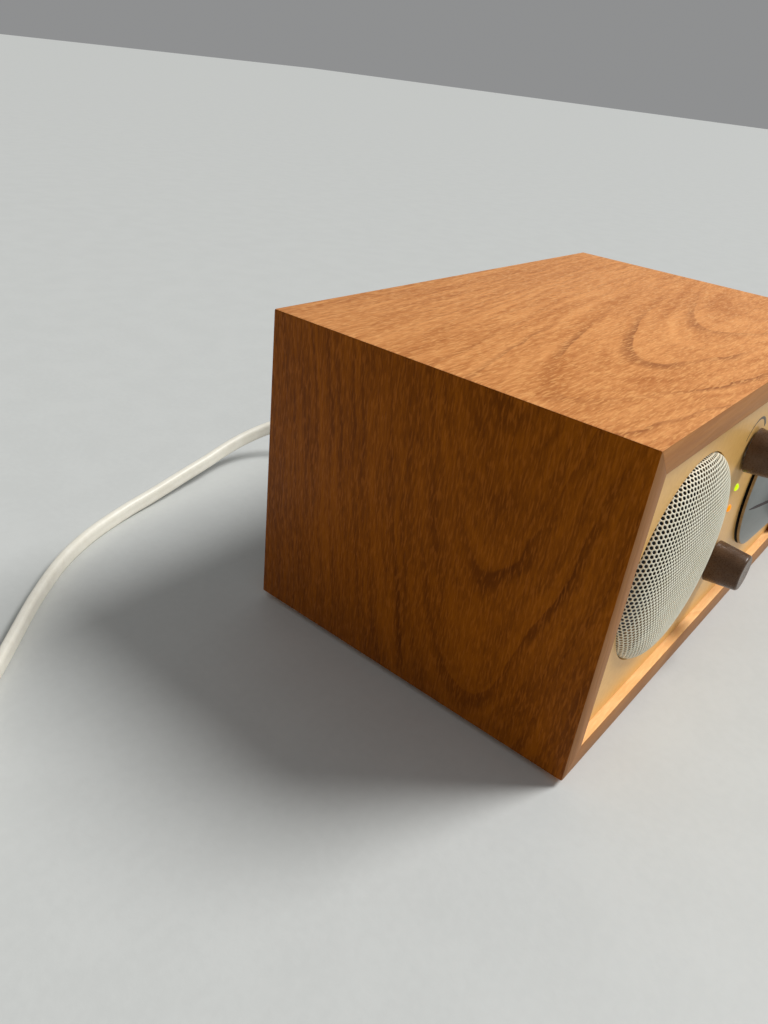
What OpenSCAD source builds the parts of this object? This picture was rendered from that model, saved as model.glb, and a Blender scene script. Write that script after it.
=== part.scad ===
/* [Cabinet] */
// Width of the wooden cabinet
cab_w = 213; // [205:1:250]
// Height of the wooden cabinet without its feet
cab_h = 110.4; // [108:0.2:130]
// Depth of the wooden cabinet
cab_d = 132.4; // [125:0.2:170]
// Thickness of each side board
side_t = 9; // [6:0.2:10]
// Thickness of the top board
top_t = 9.2; // [6:0.2:10]
// Thickness of the bottom board
bottom_t = 8.8; // [6:0.2:10]
// Depth of the front panel's face behind the boards' front edges
front_recess = 3.2; // [1:0.1:6]
// Depth of the back panel's face behind the boards' back edges
back_recess = 3.2; // [3:0.1:6]
// Thickness of the front panel
panel_t = 2; // [1.5:0.1:3]
// Thickness of the baffle board behind the front panel
baffle_t = 6; // [5:0.5:9]
// Thickness of the back panel
back_t = 3; // [2:0.5:5]
// Side of the square cleats and corner blocks
cleat_s = 11; // [9:0.5:12]
// Length of the corner blocks behind the baffle
block_l = 14; // [8:1:20]
// Height of the rubber feet below the cabinet
foot_h = 2; // [1:0.2:6]
// Radius of the rubber feet
foot_r = 8; // [5:0.5:10]
// Depth of the feet's seats in the bottom board
foot_seat = 1.2; // [0.6:0.2:2]
// Distance of the feet's centres from the cabinet's edges
foot_inset = 18; // [12:1:30]

/* [Front] */
// How far the grille's and the dial's centres lie above the middle of the cabinet's opening
axis_rise = 1.4; // [0:0.1:3]
// How far the volume knob lies above those centres
volume_up = 23; // [20.5:0.2:26]
// How far the selector knob lies below those centres
selector_down = 22.8; // [21:0.2:26]
// How far the green lamp lies above those centres
green_up = 7.9; // [6:0.1:9]
// How far the amber lamp lies below those centres
amber_down = 0.7; // [0:0.1:3]
// Radius of the lamps
lamp_r = 1.5; // [1:0.1:2.5]
// How far the lamps stand out of the panel
lamp_reach = 0.9; // [0.5:0.1:3]

/* [Loudspeaker] */
// Radius of the grille's dome
grille_r = 35.5; // [30:0.5:36]
// Height of the grille's dome from its rim
dome_h = 7.1; // [3:0.1:10]
// Depth of the dome's rim behind the panel's face
dome_rim = 0.6; // [0.2:0.1:1.4]
// Thickness of the grille's sheet
grille_t = 0.8; // [0.6:0.1:1.2]
// Width of the grille's flange
flange_w = 3.3; // [2:0.1:3.6]
// Radius of the opening in the baffle
mouth_r = 33; // [33:0.5:34]
// Width of the basket's rim round the mouth
basket_rim = 6; // [5.6:0.1:6.6]
// Depth of the basket
basket_d = 16; // [14:1:22]
// Radius of the ring magnet
magnet_r = 25; // [21:1:30]
// Thickness of the ring magnet
magnet_t = 8; // [5:0.5:12]
// Radius of the voice coil's former
coil_r = 9.85; // [8:0.05:11]

/* [Small knobs] */
// Radius of the small knobs at the panel
knob_r = 8.2; // [7.6:0.1:10]
// Radius of the small knobs at the tip
knob_tip_r = 7; // [6.6:0.1:7.4]
// How far the small knobs stand out of the panel
knob_reach = 13.2; // [12.6:0.1:18]
// Gap between the knobs and the panel
knob_gap = 0.8; // [0.4:0.1:1.2]
// Radius of the control shafts
shaft_r = 3; // [2.5:0.1:3.1]
// Radius of the threaded bushes of the controls
bush_r = 3.6; // [3.5:0.1:4]
// Running clearance of the shafts in their bearings
run_gap = 0.05; // [0.02:0.01:0.08]
// Radius of the volume control's can
volume_can_r = 8.5; // [8:0.1:9]
// Radius of the selector switch's body
selector_can_r = 11; // [9:0.5:13]

/* [Tuning] */
// Radius of the tuning dial's rim
dial_r = 34; // [30:0.5:36]
// Height of the dial's rim above the panel
dial_rim = 1.9; // [1.7:0.1:3]
// Gap between the dial and the panel
dial_gap = 1; // [0.5:0.1:1.2]
// Height of the dial's cone above the panel
dial_h = 7.5; // [7:0.1:9]
// Radius of the central tuning knob
tuning_r = 20; // [16:0.5:22]
// How far the tuning knob stands out of the panel
tuning_reach = 13; // [12.4:0.1:18]
// Outer radius of the reduction drive's housing
drive_r = 12; // [11:0.5:14]
// Length of the reduction drive's housing
drive_l = 13; // [13:0.5:18]
// Width of the tuning capacitor's frame
cap_w = 40; // [38:1:44]
// Height of the tuning capacitor's frame
cap_h = 36; // [35:1:40]
// Radius of the moving plates
plate_r = 14.5; // [10:0.5:15]
// Number of moving plates
plates = 9; // [5:1:11]
// Length of the posts that carry the tuning capacitor
post_l = 24; // [23:0.5:28]

/* [Electronics] */
// Width of the circuit board
board_w = 76; // [60:1:80]
// Depth of the circuit board
board_d = 84; // [70:1:86]
// Height of the circuit board's spacers
spacer_h = 6; // [4:0.5:12]
// Width of the transformer's core
core_w = 48; // [42:1:54]
// Height of the transformer's core
core_h = 40; // [36:1:46]
// Thickness of the transformer's stack
core_t = 20; // [14:1:24]
// Length of the ferrite rod
rod_l = 120; // [100:5:150]
// Radius of the ferrite rod
rod_r = 4; // [3:0.5:5]

/* [Connections] */
// Radius of the jacks' bores
jack_r = 1.8; // [1.3:0.05:2.2]
// Depth of the jacks' bores
jack_bore = 14; // [11:0.5:15]
// Width of the flat cord
cord_w = 6.4; // [5:0.2:8]
// Thickness of the flat cord
cord_t = 3.8; // [3:0.1:4.2]
// Length of the cord's strain relief outside the back panel
relief_l = 20; // [16:1:30]
// Middle radius of the coil's outermost turn
coil_out = 39.4; // [36:0.2:44]
// Gap between the coil's turns and between its layers
turn_gap = 0.6; // [0.5:0.05:1]
// Length of the plug's moulded body
plug_l = 24; // [18:1:32]
// Thickness of the plug's moulded body
plug_t = 15; // [12:1:20]
// Length of the plug's blades
blade_l = 17; // [12:1:20]

/* [Hidden] */

// Planes of the cabinet
top_z = foot_h + cab_h;
floor_z = foot_h + bottom_t;
ceil_z = top_z - top_t;
in_x = cab_w / 2 - side_t;
back_y = (cab_d + max(knob_reach, tuning_reach) - front_recess) / 2;
edge_y = back_y - cab_d;
panel_y = edge_y + front_recess;
baffle_y = panel_y + panel_t + baffle_t;
rear_y = back_y - back_recess;
// The grille and the dial sit midway between the controls and the side boards
axis_x = (in_x + volume_can_r) / 2;
axis_z = (floor_z + ceil_z) / 2 + axis_rise;
volume_z = axis_z + volume_up;
selector_z = axis_z - selector_down;
green_z = axis_z + green_up;
amber_z = axis_z - amber_down;
// Clearance of the panels in the cabinet
panel_gap = 0.15;
// Clearance round a piece that passes through a board
pass_gap = 0.5;
// Clearance of a screw in its through hole, and its hold in wood
screw_gap = 0.2;
grip_gap = 0.05;
// Radii and head sizes of the wood screws
screw_r = 1.4;
head_r = 2.8;
head_h = 1.5;
screw_l = 8;
// Depth of the baffle behind the panel's face, seen from the front
behind = panel_t + baffle_t;

// An outline in X and Z, drawn out along Y
module along_y(y0, y1) {
    translate([0, y1, 0]) rotate([90, 0, 0]) linear_extrude(y1 - y0) children();
}

// A profile of radius and height, turned round an axis that points to the front
module turned(x, y, z) {
    translate([x, y, z]) rotate([90, 0, 0]) rotate_extrude($fn = 96) children();
}

// A round bar along Y
module bar_y(x, z, y0, y1, r) {
    translate([x, y1, z]) rotate([90, 0, 0]) cylinder(r = r, h = y1 - y0, $fn = 48);
}

// A pan head screw that enters towards the front, with its head's seat at y
module screw_y(x, z, y, l) {
    bar_y(x, z, y - l, y, screw_r);
    turned(x, y, z)
        polygon([[0, 0], [head_r, 0], [head_r, -head_h * 0.6], [head_r * 0.6, -head_h], [0, -head_h]]);
}

// A box given by its two corners
module block(a, b) {
    translate(a) cube(b - a);
}

// The inside outline of the cabinet, less a clearance all round
module inside_outline() {
    translate([0, (floor_z + ceil_z) / 2])
        square([2 * (in_x - panel_gap), ceil_z - floor_z - 2 * panel_gap], center = true);
}

// Places of repeated pieces
block_x = in_x - cleat_s / 2;
block_z = [floor_z + cleat_s / 2, ceil_z - cleat_s / 2];
back_screw_x = [-block_x, 0, block_x];
foot_x = cab_w / 2 - foot_inset;
foot_y = [edge_y + foot_inset, back_y - foot_inset];

module top_board() {
    color([0.74, 0.45, 0.29])
        along_y(edge_y, back_y)
            polygon([[-cab_w / 2, top_z], [cab_w / 2, top_z], [in_x, ceil_z], [-in_x, ceil_z]]);
}

module bottom_board() {
    color([0.74, 0.45, 0.29])
        difference() {
            along_y(edge_y, back_y)
                polygon([[-cab_w / 2, foot_h], [cab_w / 2, foot_h], [in_x, floor_z], [-in_x, floor_z]]);
            for (x = [-foot_x, foot_x], y = foot_y)
                translate([x, y, foot_h - 1]) cylinder(r = foot_r + 0.1, h = foot_seat + 1, $fn = 64);
            for (p = spacer_places)
                translate([p[0], p[1], floor_z - pin_l])
                    cylinder(r = screw_r + grip_gap, h = pin_l + 1, $fn = 32);
            for (s = [-1, 1])
                translate([core_x + s * lug_x, core_y, floor_z - pin_l])
                    cylinder(r = screw_r + grip_gap, h = pin_l + 1, $fn = 32);
        }
}

module side_board(s) {
    along_y(edge_y, back_y)
        polygon([[s * cab_w / 2, foot_h], [s * cab_w / 2, top_z], [s * in_x, ceil_z], [s * in_x, floor_z]]);
}

module left_side() {
    color([0.45, 0.25, 0.14]) side_board(-1);
}

module right_side() {
    color([0.45, 0.25, 0.14]) side_board(1);
}

module corner_blocks() {
    color([0.78, 0.63, 0.42])
        for (s = [-1, 1], z = block_z)
            difference() {
                translate([s * block_x - cleat_s / 2, baffle_y, z - cleat_s / 2])
                    cube([cleat_s, block_l, cleat_s]);
                bar_y(s * block_x, z, baffle_y - 1, baffle_y + block_l + 1, screw_r + screw_gap);
            }
}

module block_screws() {
    color([0.75, 0.75, 0.72])
        for (s = [-1, 1], z = block_z)
            screw_y(s * block_x, z, baffle_y + block_l, block_l + pilot_l - 0.5);
}

module rubber_feet() {
    color([0.12, 0.12, 0.12])
        for (x = [-foot_x, foot_x], y = foot_y)
            translate([x, y, 0])
                rotate_extrude($fn = 64)
                    polygon([[0, 0], [foot_r - 0.8, 0], [foot_r - 0.2, 0.4], [foot_r, 0.9],
                        [foot_r, foot_h + foot_seat], [0, foot_h + foot_seat]]);
}

// Depth of the pilot holes for wood screws
pilot_l = baffle_t - 2;
pin_l = 5;
lamp_flange_r = lamp_r + 0.4;

module front_panel() {
    color([0.78, 0.65, 0.41])
        along_y(panel_y, panel_y + panel_t)
            difference() {
                inside_outline();
                translate([-axis_x, axis_z]) circle(r = grille_r + pass_gap, $fn = 128);
                translate([axis_x, axis_z]) circle(r = hub_r + pass_gap, $fn = 64);
                for (z = [volume_z, selector_z])
                    translate([0, z]) circle(r = bush_r + 0.1, $fn = 48);
                for (z = [green_z, amber_z])
                    translate([0, z]) circle(r = lamp_r + grip_gap, $fn = 32);
            }
}

module baffle_board() {
    color([0.62, 0.48, 0.32])
        difference() {
            along_y(panel_y + panel_t, baffle_y)
                difference() {
                    inside_outline();
                    translate([-axis_x, axis_z]) circle(r = mouth_r, $fn = 128);
                    translate([axis_x, axis_z]) circle(r = hub_r + pass_gap, $fn = 64);
                    for (z = [volume_z, selector_z])
                        translate([0, z]) circle(r = bush_r + 0.1, $fn = 48);
                    for (z = [green_z, amber_z])
                        translate([0, z]) circle(r = lamp_flange_r + screw_gap, $fn = 32);
                }
            bar_y(-axis_x, axis_z, panel_y, panel_y + panel_t + grille_t, grille_r + flange_w + screw_gap);
            for (p = speaker_screw_places)
                bar_y(p[0], p[1], baffle_y - pilot_l, baffle_y + 1, screw_r + grip_gap);
            for (s = [-1, 1], z = block_z)
                bar_y(s * block_x, z, baffle_y - pilot_l, baffle_y + 1, screw_r + grip_gap);
            for (p = post_places)
                bar_y(p[0], p[1], baffle_y - pilot_l, baffle_y + 1, screw_r + grip_gap);
        }
}

module back_cleats() {
    color([0.78, 0.63, 0.42])
        for (z = block_z)
            difference() {
                block([-in_x, rear_y - back_t - cleat_s, z - cleat_s / 2],
                    [in_x, rear_y - back_t, z + cleat_s / 2]);
                for (x = back_screw_x)
                    bar_y(x, z, rear_y - back_t - screw_l, rear_y, screw_r + grip_gap);
            }
}

// Cooling slots of the back panel
slot_l = 26;
slot_w = 3;
slot_pitch = 7;
slot_x = -60;

module back_panel() {
    color([0.16, 0.15, 0.14])
        along_y(rear_y - back_t, rear_y)
            difference() {
                inside_outline();
                for (x = back_screw_x, z = block_z)
                    translate([x, z]) circle(r = screw_r + screw_gap, $fn = 32);
                for (x = jack_x)
                    translate([x, jack_z]) circle(r = jack_bush_r + 0.1, $fn = 48);
                translate([cord_x, cord_z]) circle(r = relief_r + 0.1, $fn = 48);
                for (i = [-2:2])
                    translate([slot_x, axis_z + i * slot_pitch]) {
                        square([slot_l, slot_w], center = true);
                        for (s = [-1, 1])
                            translate([s * slot_l / 2, 0]) circle(d = slot_w, $fn = 32);
                    }
            }
}

module back_screws() {
    color([0.75, 0.75, 0.72])
        for (x = back_screw_x, z = block_z)
            screw_y(x, z, rear_y, screw_l + back_t - 0.5);
}

// The dome's outline: a fourth-power curve, steep at the rim and flat in the middle
function dome(r, h) = [for (a = [0:7.5:90]) [r * sqrt(sin(a)), h * cos(a) - dome_rim]];
function reversed(v) = [for (i = [len(v) - 1:-1:0]) v[i]];

module speaker_grille() {
    color([0.92, 0.9, 0.82])
        turned(-axis_x, panel_y, axis_z)
            polygon(concat(dome(grille_r, dome_h), [[grille_r, -panel_t], [grille_r + flange_w, -panel_t],
                [grille_r + flange_w, -panel_t - grille_t], [grille_r - grille_t, -panel_t - grille_t]],
                reversed(dome(grille_r - grille_t, dome_h - grille_t))));
}

// The loudspeaker's profiles count their depth behind the baffle as negative
gasket_t = 1;
rim_t = 1;
lip_w = 1.6;
lip_t = 0.4;
basket_z = gasket_t + rim_t;
floor_d = basket_z + basket_d;
basket_r = mouth_r + basket_rim;
wall_r = mouth_r - 0.8;
cone_r = mouth_r - 5;
neck_r = coil_r + 0.1;
cone_d = floor_d - 5.6;
pole_r = coil_r - 0.65;
gap_r = coil_r + 0.5;
plate_d = 3;
top_plate_r = magnet_r - 5;
speaker_screw_r = basket_r - 2.8;
speaker_screw_places = [for (a = [45:90:315])
    [-axis_x + speaker_screw_r * cos(a), axis_z + speaker_screw_r * sin(a)]];

// The basket's inner radius at a depth behind the baffle
function basket_in(d) = wall_r - (wall_r - top_plate_r - 0.1) * (d - basket_z) / (basket_d - 0.9);

module speaker_turned() {
    turned(-axis_x, baffle_y, axis_z) children();
}

module speaker_holes() {
    for (p = speaker_screw_places)
        bar_y(p[0], p[1], baffle_y - 1, baffle_y + basket_z + 1, screw_r + screw_gap);
}

module speaker_gasket() {
    color([0.15, 0.15, 0.16])
        difference() {
            speaker_turned()
                polygon([[mouth_r + lip_w + 0.3, 0], [basket_r - 0.4, 0], [basket_r - 0.4, -gasket_t],
                    [mouth_r + lip_w + 0.3, -gasket_t]]);
            speaker_holes();
        }
}

module speaker_basket() {
    color([0.2, 0.2, 0.21])
        difference() {
            speaker_turned()
                polygon([[mouth_r, -gasket_t], [basket_r, -gasket_t], [basket_r, -basket_z],
                    [wall_r + 1.1, -basket_z], [top_plate_r + 0.9, -floor_d], [neck_r + 2, -floor_d],
                    [neck_r + 2, -floor_d + 0.9], [top_plate_r + 0.1, -floor_d + 0.9], [wall_r, -basket_z]]);
            speaker_holes();
            for (a = [0:90:270])
                translate([-axis_x, baffle_y + basket_z + 2, axis_z])
                    rotate([0, a, 0])
                        translate([-8, 0, top_plate_r + 4]) cube([16, basket_d - 6, basket_r]);
        }
}

module speaker_screws() {
    color([0.75, 0.75, 0.72])
        for (p = speaker_screw_places)
            screw_y(p[0], p[1], baffle_y + basket_z, basket_z + pilot_l - 0.5);
}

module speaker_surround() {
    roll_r = (mouth_r - cone_r) / 2;
    roll_x = (mouth_r + cone_r) / 2;
    color([0.1, 0.1, 0.1])
        speaker_turned()
            polygon(concat([[cone_r - 1, -gasket_t + lip_t], [cone_r - 1, -gasket_t + 0.05]],
                [for (a = [180:-15:0]) [roll_x + (roll_r - lip_t) * cos(a),
                    -gasket_t + 0.05 + (roll_r - lip_t) * sin(a)]],
                [[mouth_r + lip_w, -gasket_t + 0.05], [mouth_r + lip_w, -gasket_t + lip_t]],
                [for (a = [0:15:180]) [roll_x + roll_r * cos(a), -gasket_t + lip_t + roll_r * sin(a)]]));
}

module speaker_cone() {
    color([0.13, 0.13, 0.14])
        speaker_turned()
            polygon([[cone_r, -gasket_t], [cone_r, -gasket_t - 0.5], [neck_r + 0.3, -cone_d - 0.5],
                [neck_r, -cone_d - 0.5], [neck_r, -cone_d]]);
}

module dust_cap() {
    cap_r = neck_r + 1.2;
    cap_d = cone_d - 1.1;
    color([0.11, 0.11, 0.12])
        speaker_turned()
            polygon(concat([for (a = [90:-15:0]) [cap_r * sin(a), -cap_d + 3 * cos(a)]],
                [for (a = [0:15:90]) [(cap_r - 0.3) * sin(a), -cap_d + 2.7 * cos(a)]]));
}

module voice_coil() {
    color([0.72, 0.42, 0.22])
        speaker_turned()
            polygon([[coil_r - 0.35, -cone_d], [coil_r, -cone_d], [coil_r, -floor_d + 0.4],
                [coil_r + 0.25, -floor_d + 0.4], [coil_r + 0.25, -floor_d - plate_d - 0.4],
                [coil_r - 0.35, -floor_d - plate_d - 0.4]]);
}

module speaker_spider() {
    spider_d = cone_d + 2;
    spider_out = basket_in(spider_d + 0.4) - 0.3;
    folds = 4;
    step = (spider_out - neck_r) / (2 * folds);
    color([0.8, 0.68, 0.4])
        speaker_turned()
            polygon(concat([for (i = [0:2 * folds]) [neck_r + i * step, -spider_d + (i % 2) * 0.7]],
                [for (i = [2 * folds:-1:0]) [neck_r + i * step, -spider_d - 0.4 + (i % 2) * 0.7]]));
}

module speaker_top_plate() {
    color([0.66, 0.67, 0.68])
        speaker_turned()
            polygon([[gap_r, -floor_d], [top_plate_r, -floor_d], [top_plate_r, -floor_d - plate_d],
                [gap_r, -floor_d - plate_d]]);
}

module speaker_magnet() {
    color([0.2, 0.2, 0.21])
        speaker_turned()
            polygon([[gap_r + 2.6, -floor_d - plate_d], [magnet_r, -floor_d - plate_d],
                [magnet_r, -floor_d - plate_d - magnet_t], [gap_r + 2.6, -floor_d - plate_d - magnet_t]]);
}

module speaker_yoke() {
    yoke_d = floor_d + plate_d + magnet_t;
    color([0.66, 0.67, 0.68])
        speaker_turned()
            polygon([[0, -floor_d], [pole_r, -floor_d], [pole_r, -yoke_d], [magnet_r - 3, -yoke_d],
                [magnet_r - 3, -yoke_d - plate_d], [0, -yoke_d - plate_d]]);
}

// Nuts and bushes of the two controls
nut_t = 2;
nut_r = bush_r + 2.1;
bush_l = nut_t + 0.6;
hub_wall = 1.6;
cavity_top = knob_reach - 3.7;

// A knob: a tapered skirt over its nut, with a hub for the shaft
module small_knob(z) {
    turned(0, panel_y, z)
        polygon(concat([[shaft_r + 0.02, nut_t + 1], [shaft_r + hub_wall, nut_t + 1],
            [shaft_r + hub_wall, cavity_top], [knob_tip_r - 1, cavity_top], [nut_r + 0.9, knob_gap],
            [knob_r, knob_gap]],
            [for (a = [0:15:90]) [knob_tip_r - 1 + cos(a), knob_reach - 1 + sin(a)]],
            [[knob_tip_r - 2, knob_reach - 0.15], [0, knob_reach - 0.3], [0, knob_reach - 1.7],
            [shaft_r + 0.02, knob_reach - 1.7]]));
}

// A shaft with its wiper disc
module control_shaft(z) {
    turned(0, panel_y, z)
        polygon([[0, -behind - 6.6], [6, -behind - 6.6], [6, -behind - 5.4], [shaft_r, -behind - 5.4],
            [shaft_r, knob_reach - 1.9], [0, knob_reach - 1.9]]);
}

// A control: a can behind the baffle, and a threaded bush through baffle and panel
module control_can(z, r) {
    turned(0, panel_y, z)
        polygon([[shaft_r + run_gap, bush_l], [bush_r, bush_l], [bush_r, -behind], [r, -behind],
            [r, -behind - 9], [0, -behind - 9], [0, -behind - 8], [r - 1, -behind - 8], [r - 1, -behind - 4],
            [shaft_r + run_gap, -behind - 4]]);
}

module volume_knob() {
    color([0.24, 0.18, 0.14]) small_knob(volume_z);
}

module volume_shaft() {
    color([0.75, 0.75, 0.73]) control_shaft(volume_z);
}

// Solder tags below a can
module tags(z, r, n) {
    for (i = [0:n - 1])
        translate([(i - (n - 1) / 2) * 4 - 0.7, baffle_y + 5.5, z - r - 5]) cube([1.4, 0.6, 6]);
}

module volume_control() {
    color([0.6, 0.62, 0.64]) {
        control_can(volume_z, volume_can_r);
        translate([0, 0, 2 * volume_z]) mirror([0, 0, 1]) tags(volume_z, volume_can_r, 3);
    }
}

module selector_knob() {
    color([0.24, 0.18, 0.14]) small_knob(selector_z);
}

module selector_shaft() {
    color([0.75, 0.75, 0.73]) control_shaft(selector_z);
}

module selector_switch() {
    color([0.36, 0.27, 0.17]) {
        control_can(selector_z, selector_can_r);
        tags(selector_z, selector_can_r, 3);
    }
}

module control_nuts() {
    color([0.8, 0.8, 0.78])
        for (z = [volume_z, selector_z])
            translate([0, panel_y, z])
                rotate([90, 0, 0])
                    difference() {
                        cylinder(r = nut_r, h = nut_t, $fn = 6);
                        translate([0, 0, -1]) cylinder(r = bush_r + grip_gap, h = nut_t + 2, $fn = 48);
                    }
}

// Lamps with a domed tip, a flange behind the panel and two legs
lamp_board_t = 1.6;
lamp_board_w = 10;
lamp_board_rim = 3.5;
leg_x = 1.27;
leg_r = 0.25;

module lamp(z) {
    turned(0, panel_y, z)
        polygon(concat([for (a = [90:-15:0]) [lamp_r * sin(a), lamp_reach - lamp_r * 0.5 * (1 - cos(a))]],
            [[0, -panel_t - 0.8], [lamp_flange_r, -panel_t - 0.8], [lamp_flange_r, -panel_t],
            [lamp_r, -panel_t]]));
    for (s = [-1, 1])
        bar_y(s * leg_x, z, panel_y + panel_t + 0.4, baffle_y + lamp_board_t + 0.6, leg_r);
}

module green_lamp() {
    color([0.8, 1, 0.1]) lamp(green_z);
}

module amber_lamp() {
    color([1, 0.62, 0.05]) lamp(amber_z);
}

module lamp_board() {
    color([0.1, 0.35, 0.18])
        along_y(baffle_y, baffle_y + lamp_board_t)
            difference() {
                translate([-lamp_board_w / 2, amber_z - lamp_board_rim])
                    square([lamp_board_w, green_z - amber_z + 2 * lamp_board_rim]);
                for (s = [-1, 1], z = [green_z, amber_z])
                    translate([s * leg_x, z]) circle(r = leg_r + 0.1, $fn = 24);
            }
}

// The reduction drive's inner sizes
tube_r = shaft_r + 1.6;
hub_r = tube_r + 1.8;
dial_t = 1.2;
well_h = dial_h - 2.1;
hub_end = 6;
barrel_r = hub_r + 0.8;
sun_r = shaft_r + 1.6;
sun_d = behind + drive_l / 2 + 0.5;
drive_end = behind + drive_l;
sleeve_end = drive_end + 8;
sleeve_bore = drive_end + 1;

module tuning_turned() {
    turned(axis_x, panel_y, axis_z) children();
}

module tuning_dial() {
    color([0.57, 0.57, 0.55])
        tuning_turned()
            polygon([[tube_r + 0.02, well_h], [tuning_r + 0.5, well_h], [tuning_r + 0.5, dial_h],
                [tuning_r + 0.9, dial_h], [dial_r, dial_rim], [dial_r, dial_gap], [dial_r - dial_t, dial_gap],
                [tuning_r, well_h - dial_t], [hub_r, well_h - dial_t], [hub_r, -hub_end],
                [tube_r + 0.02, -hub_end]]);
}

module tuning_knob() {
    color([0.24, 0.18, 0.14])
        tuning_turned()
            polygon(concat([[shaft_r + 0.02, well_h + 0.6], [shaft_r + 2, well_h + 0.6],
                [shaft_r + 2, tuning_reach - 2.4], [tuning_r - 2.6, tuning_reach - 2.4],
                [tuning_r - 1.6, well_h + 0.6], [tuning_r, well_h + 0.6]],
                [for (a = [0:15:90]) [tuning_r - 2.3 + 1.5 * cos(a), tuning_reach - 1.5 + 1.5 * sin(a)]],
                [[tuning_r - 4, tuning_reach - 0.2], [0, tuning_reach - 0.5], [0, tuning_reach - 1.9],
                [shaft_r + 0.02, tuning_reach - 1.9]]));
}

module tuning_shaft() {
    color([0.75, 0.75, 0.73])
        tuning_turned()
            polygon([[0, -sun_d - 3.3], [2, -sun_d - 3.3], [2, -sun_d - 2.4], [sun_r, -sun_d - 2.4],
                [sun_r, -sun_d + 2.4], [shaft_r, -sun_d + 2.4], [shaft_r, tuning_reach - 2.1],
                [0, tuning_reach - 2.1]]);
}

module drive_housing() {
    color([0.7, 0.71, 0.72])
        tuning_turned()
            polygon([[barrel_r + 0.1, -behind], [drive_r + 4, -behind], [drive_r + 4, -behind - 2],
                [drive_r, -behind - 2], [drive_r, -drive_end + 0.5], [barrel_r + 0.1, -drive_end + 0.5]]);
}

module drive_output() {
    color([0.8, 0.66, 0.36])
        tuning_turned()
            polygon([[shaft_r + run_gap, well_h - 1], [tube_r, well_h - 1], [tube_r, -hub_end],
                [hub_r, -hub_end], [hub_r, -behind - 2], [barrel_r, -behind - 2], [barrel_r, -drive_end],
                [hub_r, -drive_end], [hub_r, -sleeve_end], [shaft_r + 0.02, -sleeve_end],
                [shaft_r + 0.02, -sleeve_bore], [0, -sleeve_bore], [0, -drive_end + 1.2],
                [sun_r + 0.3, -drive_end + 1.2], [sun_r + 0.3, -behind - 3.6],
                [shaft_r + run_gap, -behind - 3.6]]);
}

// The tuning capacitor behind its posts
cap_y = baffle_y + post_l;
sheet = 1.5;
plate_pitch = 2.4;
plate_t = 0.6;
plate_y = cap_y + sheet + 3;
cap_l = plates * plate_pitch + 2 * sheet + 6;
post_x = cap_w / 2 - 4;
post_z = cap_h / 2 - 4;
post_places = [for (s = [-1, 1], t = [-1, 1]) [axis_x + s * post_x, axis_z + t * post_z]];
stator_out = plate_r + 3.2;
stator_rod = plate_r + 1.8;

module capacitor_posts() {
    color([0.8, 0.66, 0.36])
        for (p = post_places) {
            bar_y(p[0], p[1], baffle_y, cap_y, 2.5);
            bar_y(p[0], p[1], baffle_y - pilot_l + 0.5, baffle_y, screw_r);
            bar_y(p[0], p[1], cap_y, cap_y + sheet + 0.8, screw_r);
        }
}

module capacitor_frame() {
    color([0.72, 0.73, 0.74])
        difference() {
            union() {
                for (y = [cap_y, cap_y + cap_l - sheet])
                    translate([axis_x - cap_w / 2, y, axis_z - cap_h / 2]) cube([cap_w, sheet, cap_h]);
                translate([axis_x - cap_w / 2, cap_y, axis_z - cap_h / 2]) cube([cap_w, cap_l, sheet]);
            }
            bar_y(axis_x, axis_z, cap_y - 1, cap_y + cap_l + 1, shaft_r + run_gap);
            for (p = post_places)
                bar_y(p[0], p[1], cap_y - 1, cap_y + sheet + 1, screw_r + 0.1);
        }
}

module capacitor_stator() {
    color([0.78, 0.79, 0.8]) {
        for (i = [1:plates - 1])
            along_y(plate_y + (i - 0.5) * plate_pitch, plate_y + (i - 0.5) * plate_pitch + plate_t)
                translate([axis_x, axis_z])
                    intersection() {
                        difference() {
                            circle(r = stator_out, $fn = 96);
                            circle(r = shaft_r + 1.2, $fn = 48);
                        }
                        translate([-stator_out, -cap_h / 2 + sheet + 0.4])
                            square([2 * stator_out, cap_h / 2 - sheet - 0.8]);
                    }
        for (s = [-1, 1])
            bar_y(axis_x + s * stator_rod, axis_z - 2.6, cap_y + sheet, cap_y + cap_l - sheet, 1.2);
    }
}

module capacitor_rotor() {
    color([0.82, 0.83, 0.84]) {
        bar_y(axis_x, axis_z, panel_y + sleeve_bore + 0.4, cap_y + cap_l + 1.5, shaft_r);
        for (i = [0:plates - 1])
            along_y(plate_y + i * plate_pitch, plate_y + i * plate_pitch + plate_t)
                translate([axis_x, axis_z])
                    union() {
                        circle(r = shaft_r + 0.6, $fn = 48);
                        intersection() {
                            circle(r = plate_r, $fn = 96);
                            translate([-plate_r, -plate_r]) square([2 * plate_r, plate_r]);
                        }
                    }
    }
}

// The circuit board stands on the floor at the right, and its corners are screwed
board_x = in_x - cleat_s - 1 - board_w;
board_y = rear_y - back_t - cleat_s - 2 - board_d;
board_t = 1.6;
board_z = floor_z + spacer_h;
board_top = board_z + board_t;
hole_inset = 4;
spacer_places = [for (x = [board_x + hole_inset, board_x + board_w - hole_inset],
    y = [board_y + hole_inset, board_y + board_d - hole_inset]) [x, y]];

module circuit_board() {
    color([0.1, 0.35, 0.18])
        difference() {
            block([board_x, board_y, board_z], [board_x + board_w, board_y + board_d, board_top]);
            for (p = spacer_places)
                translate([p[0], p[1], board_z - 1])
                    cylinder(r = screw_r + screw_gap, h = board_t + 2, $fn = 32);
        }
}

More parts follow.
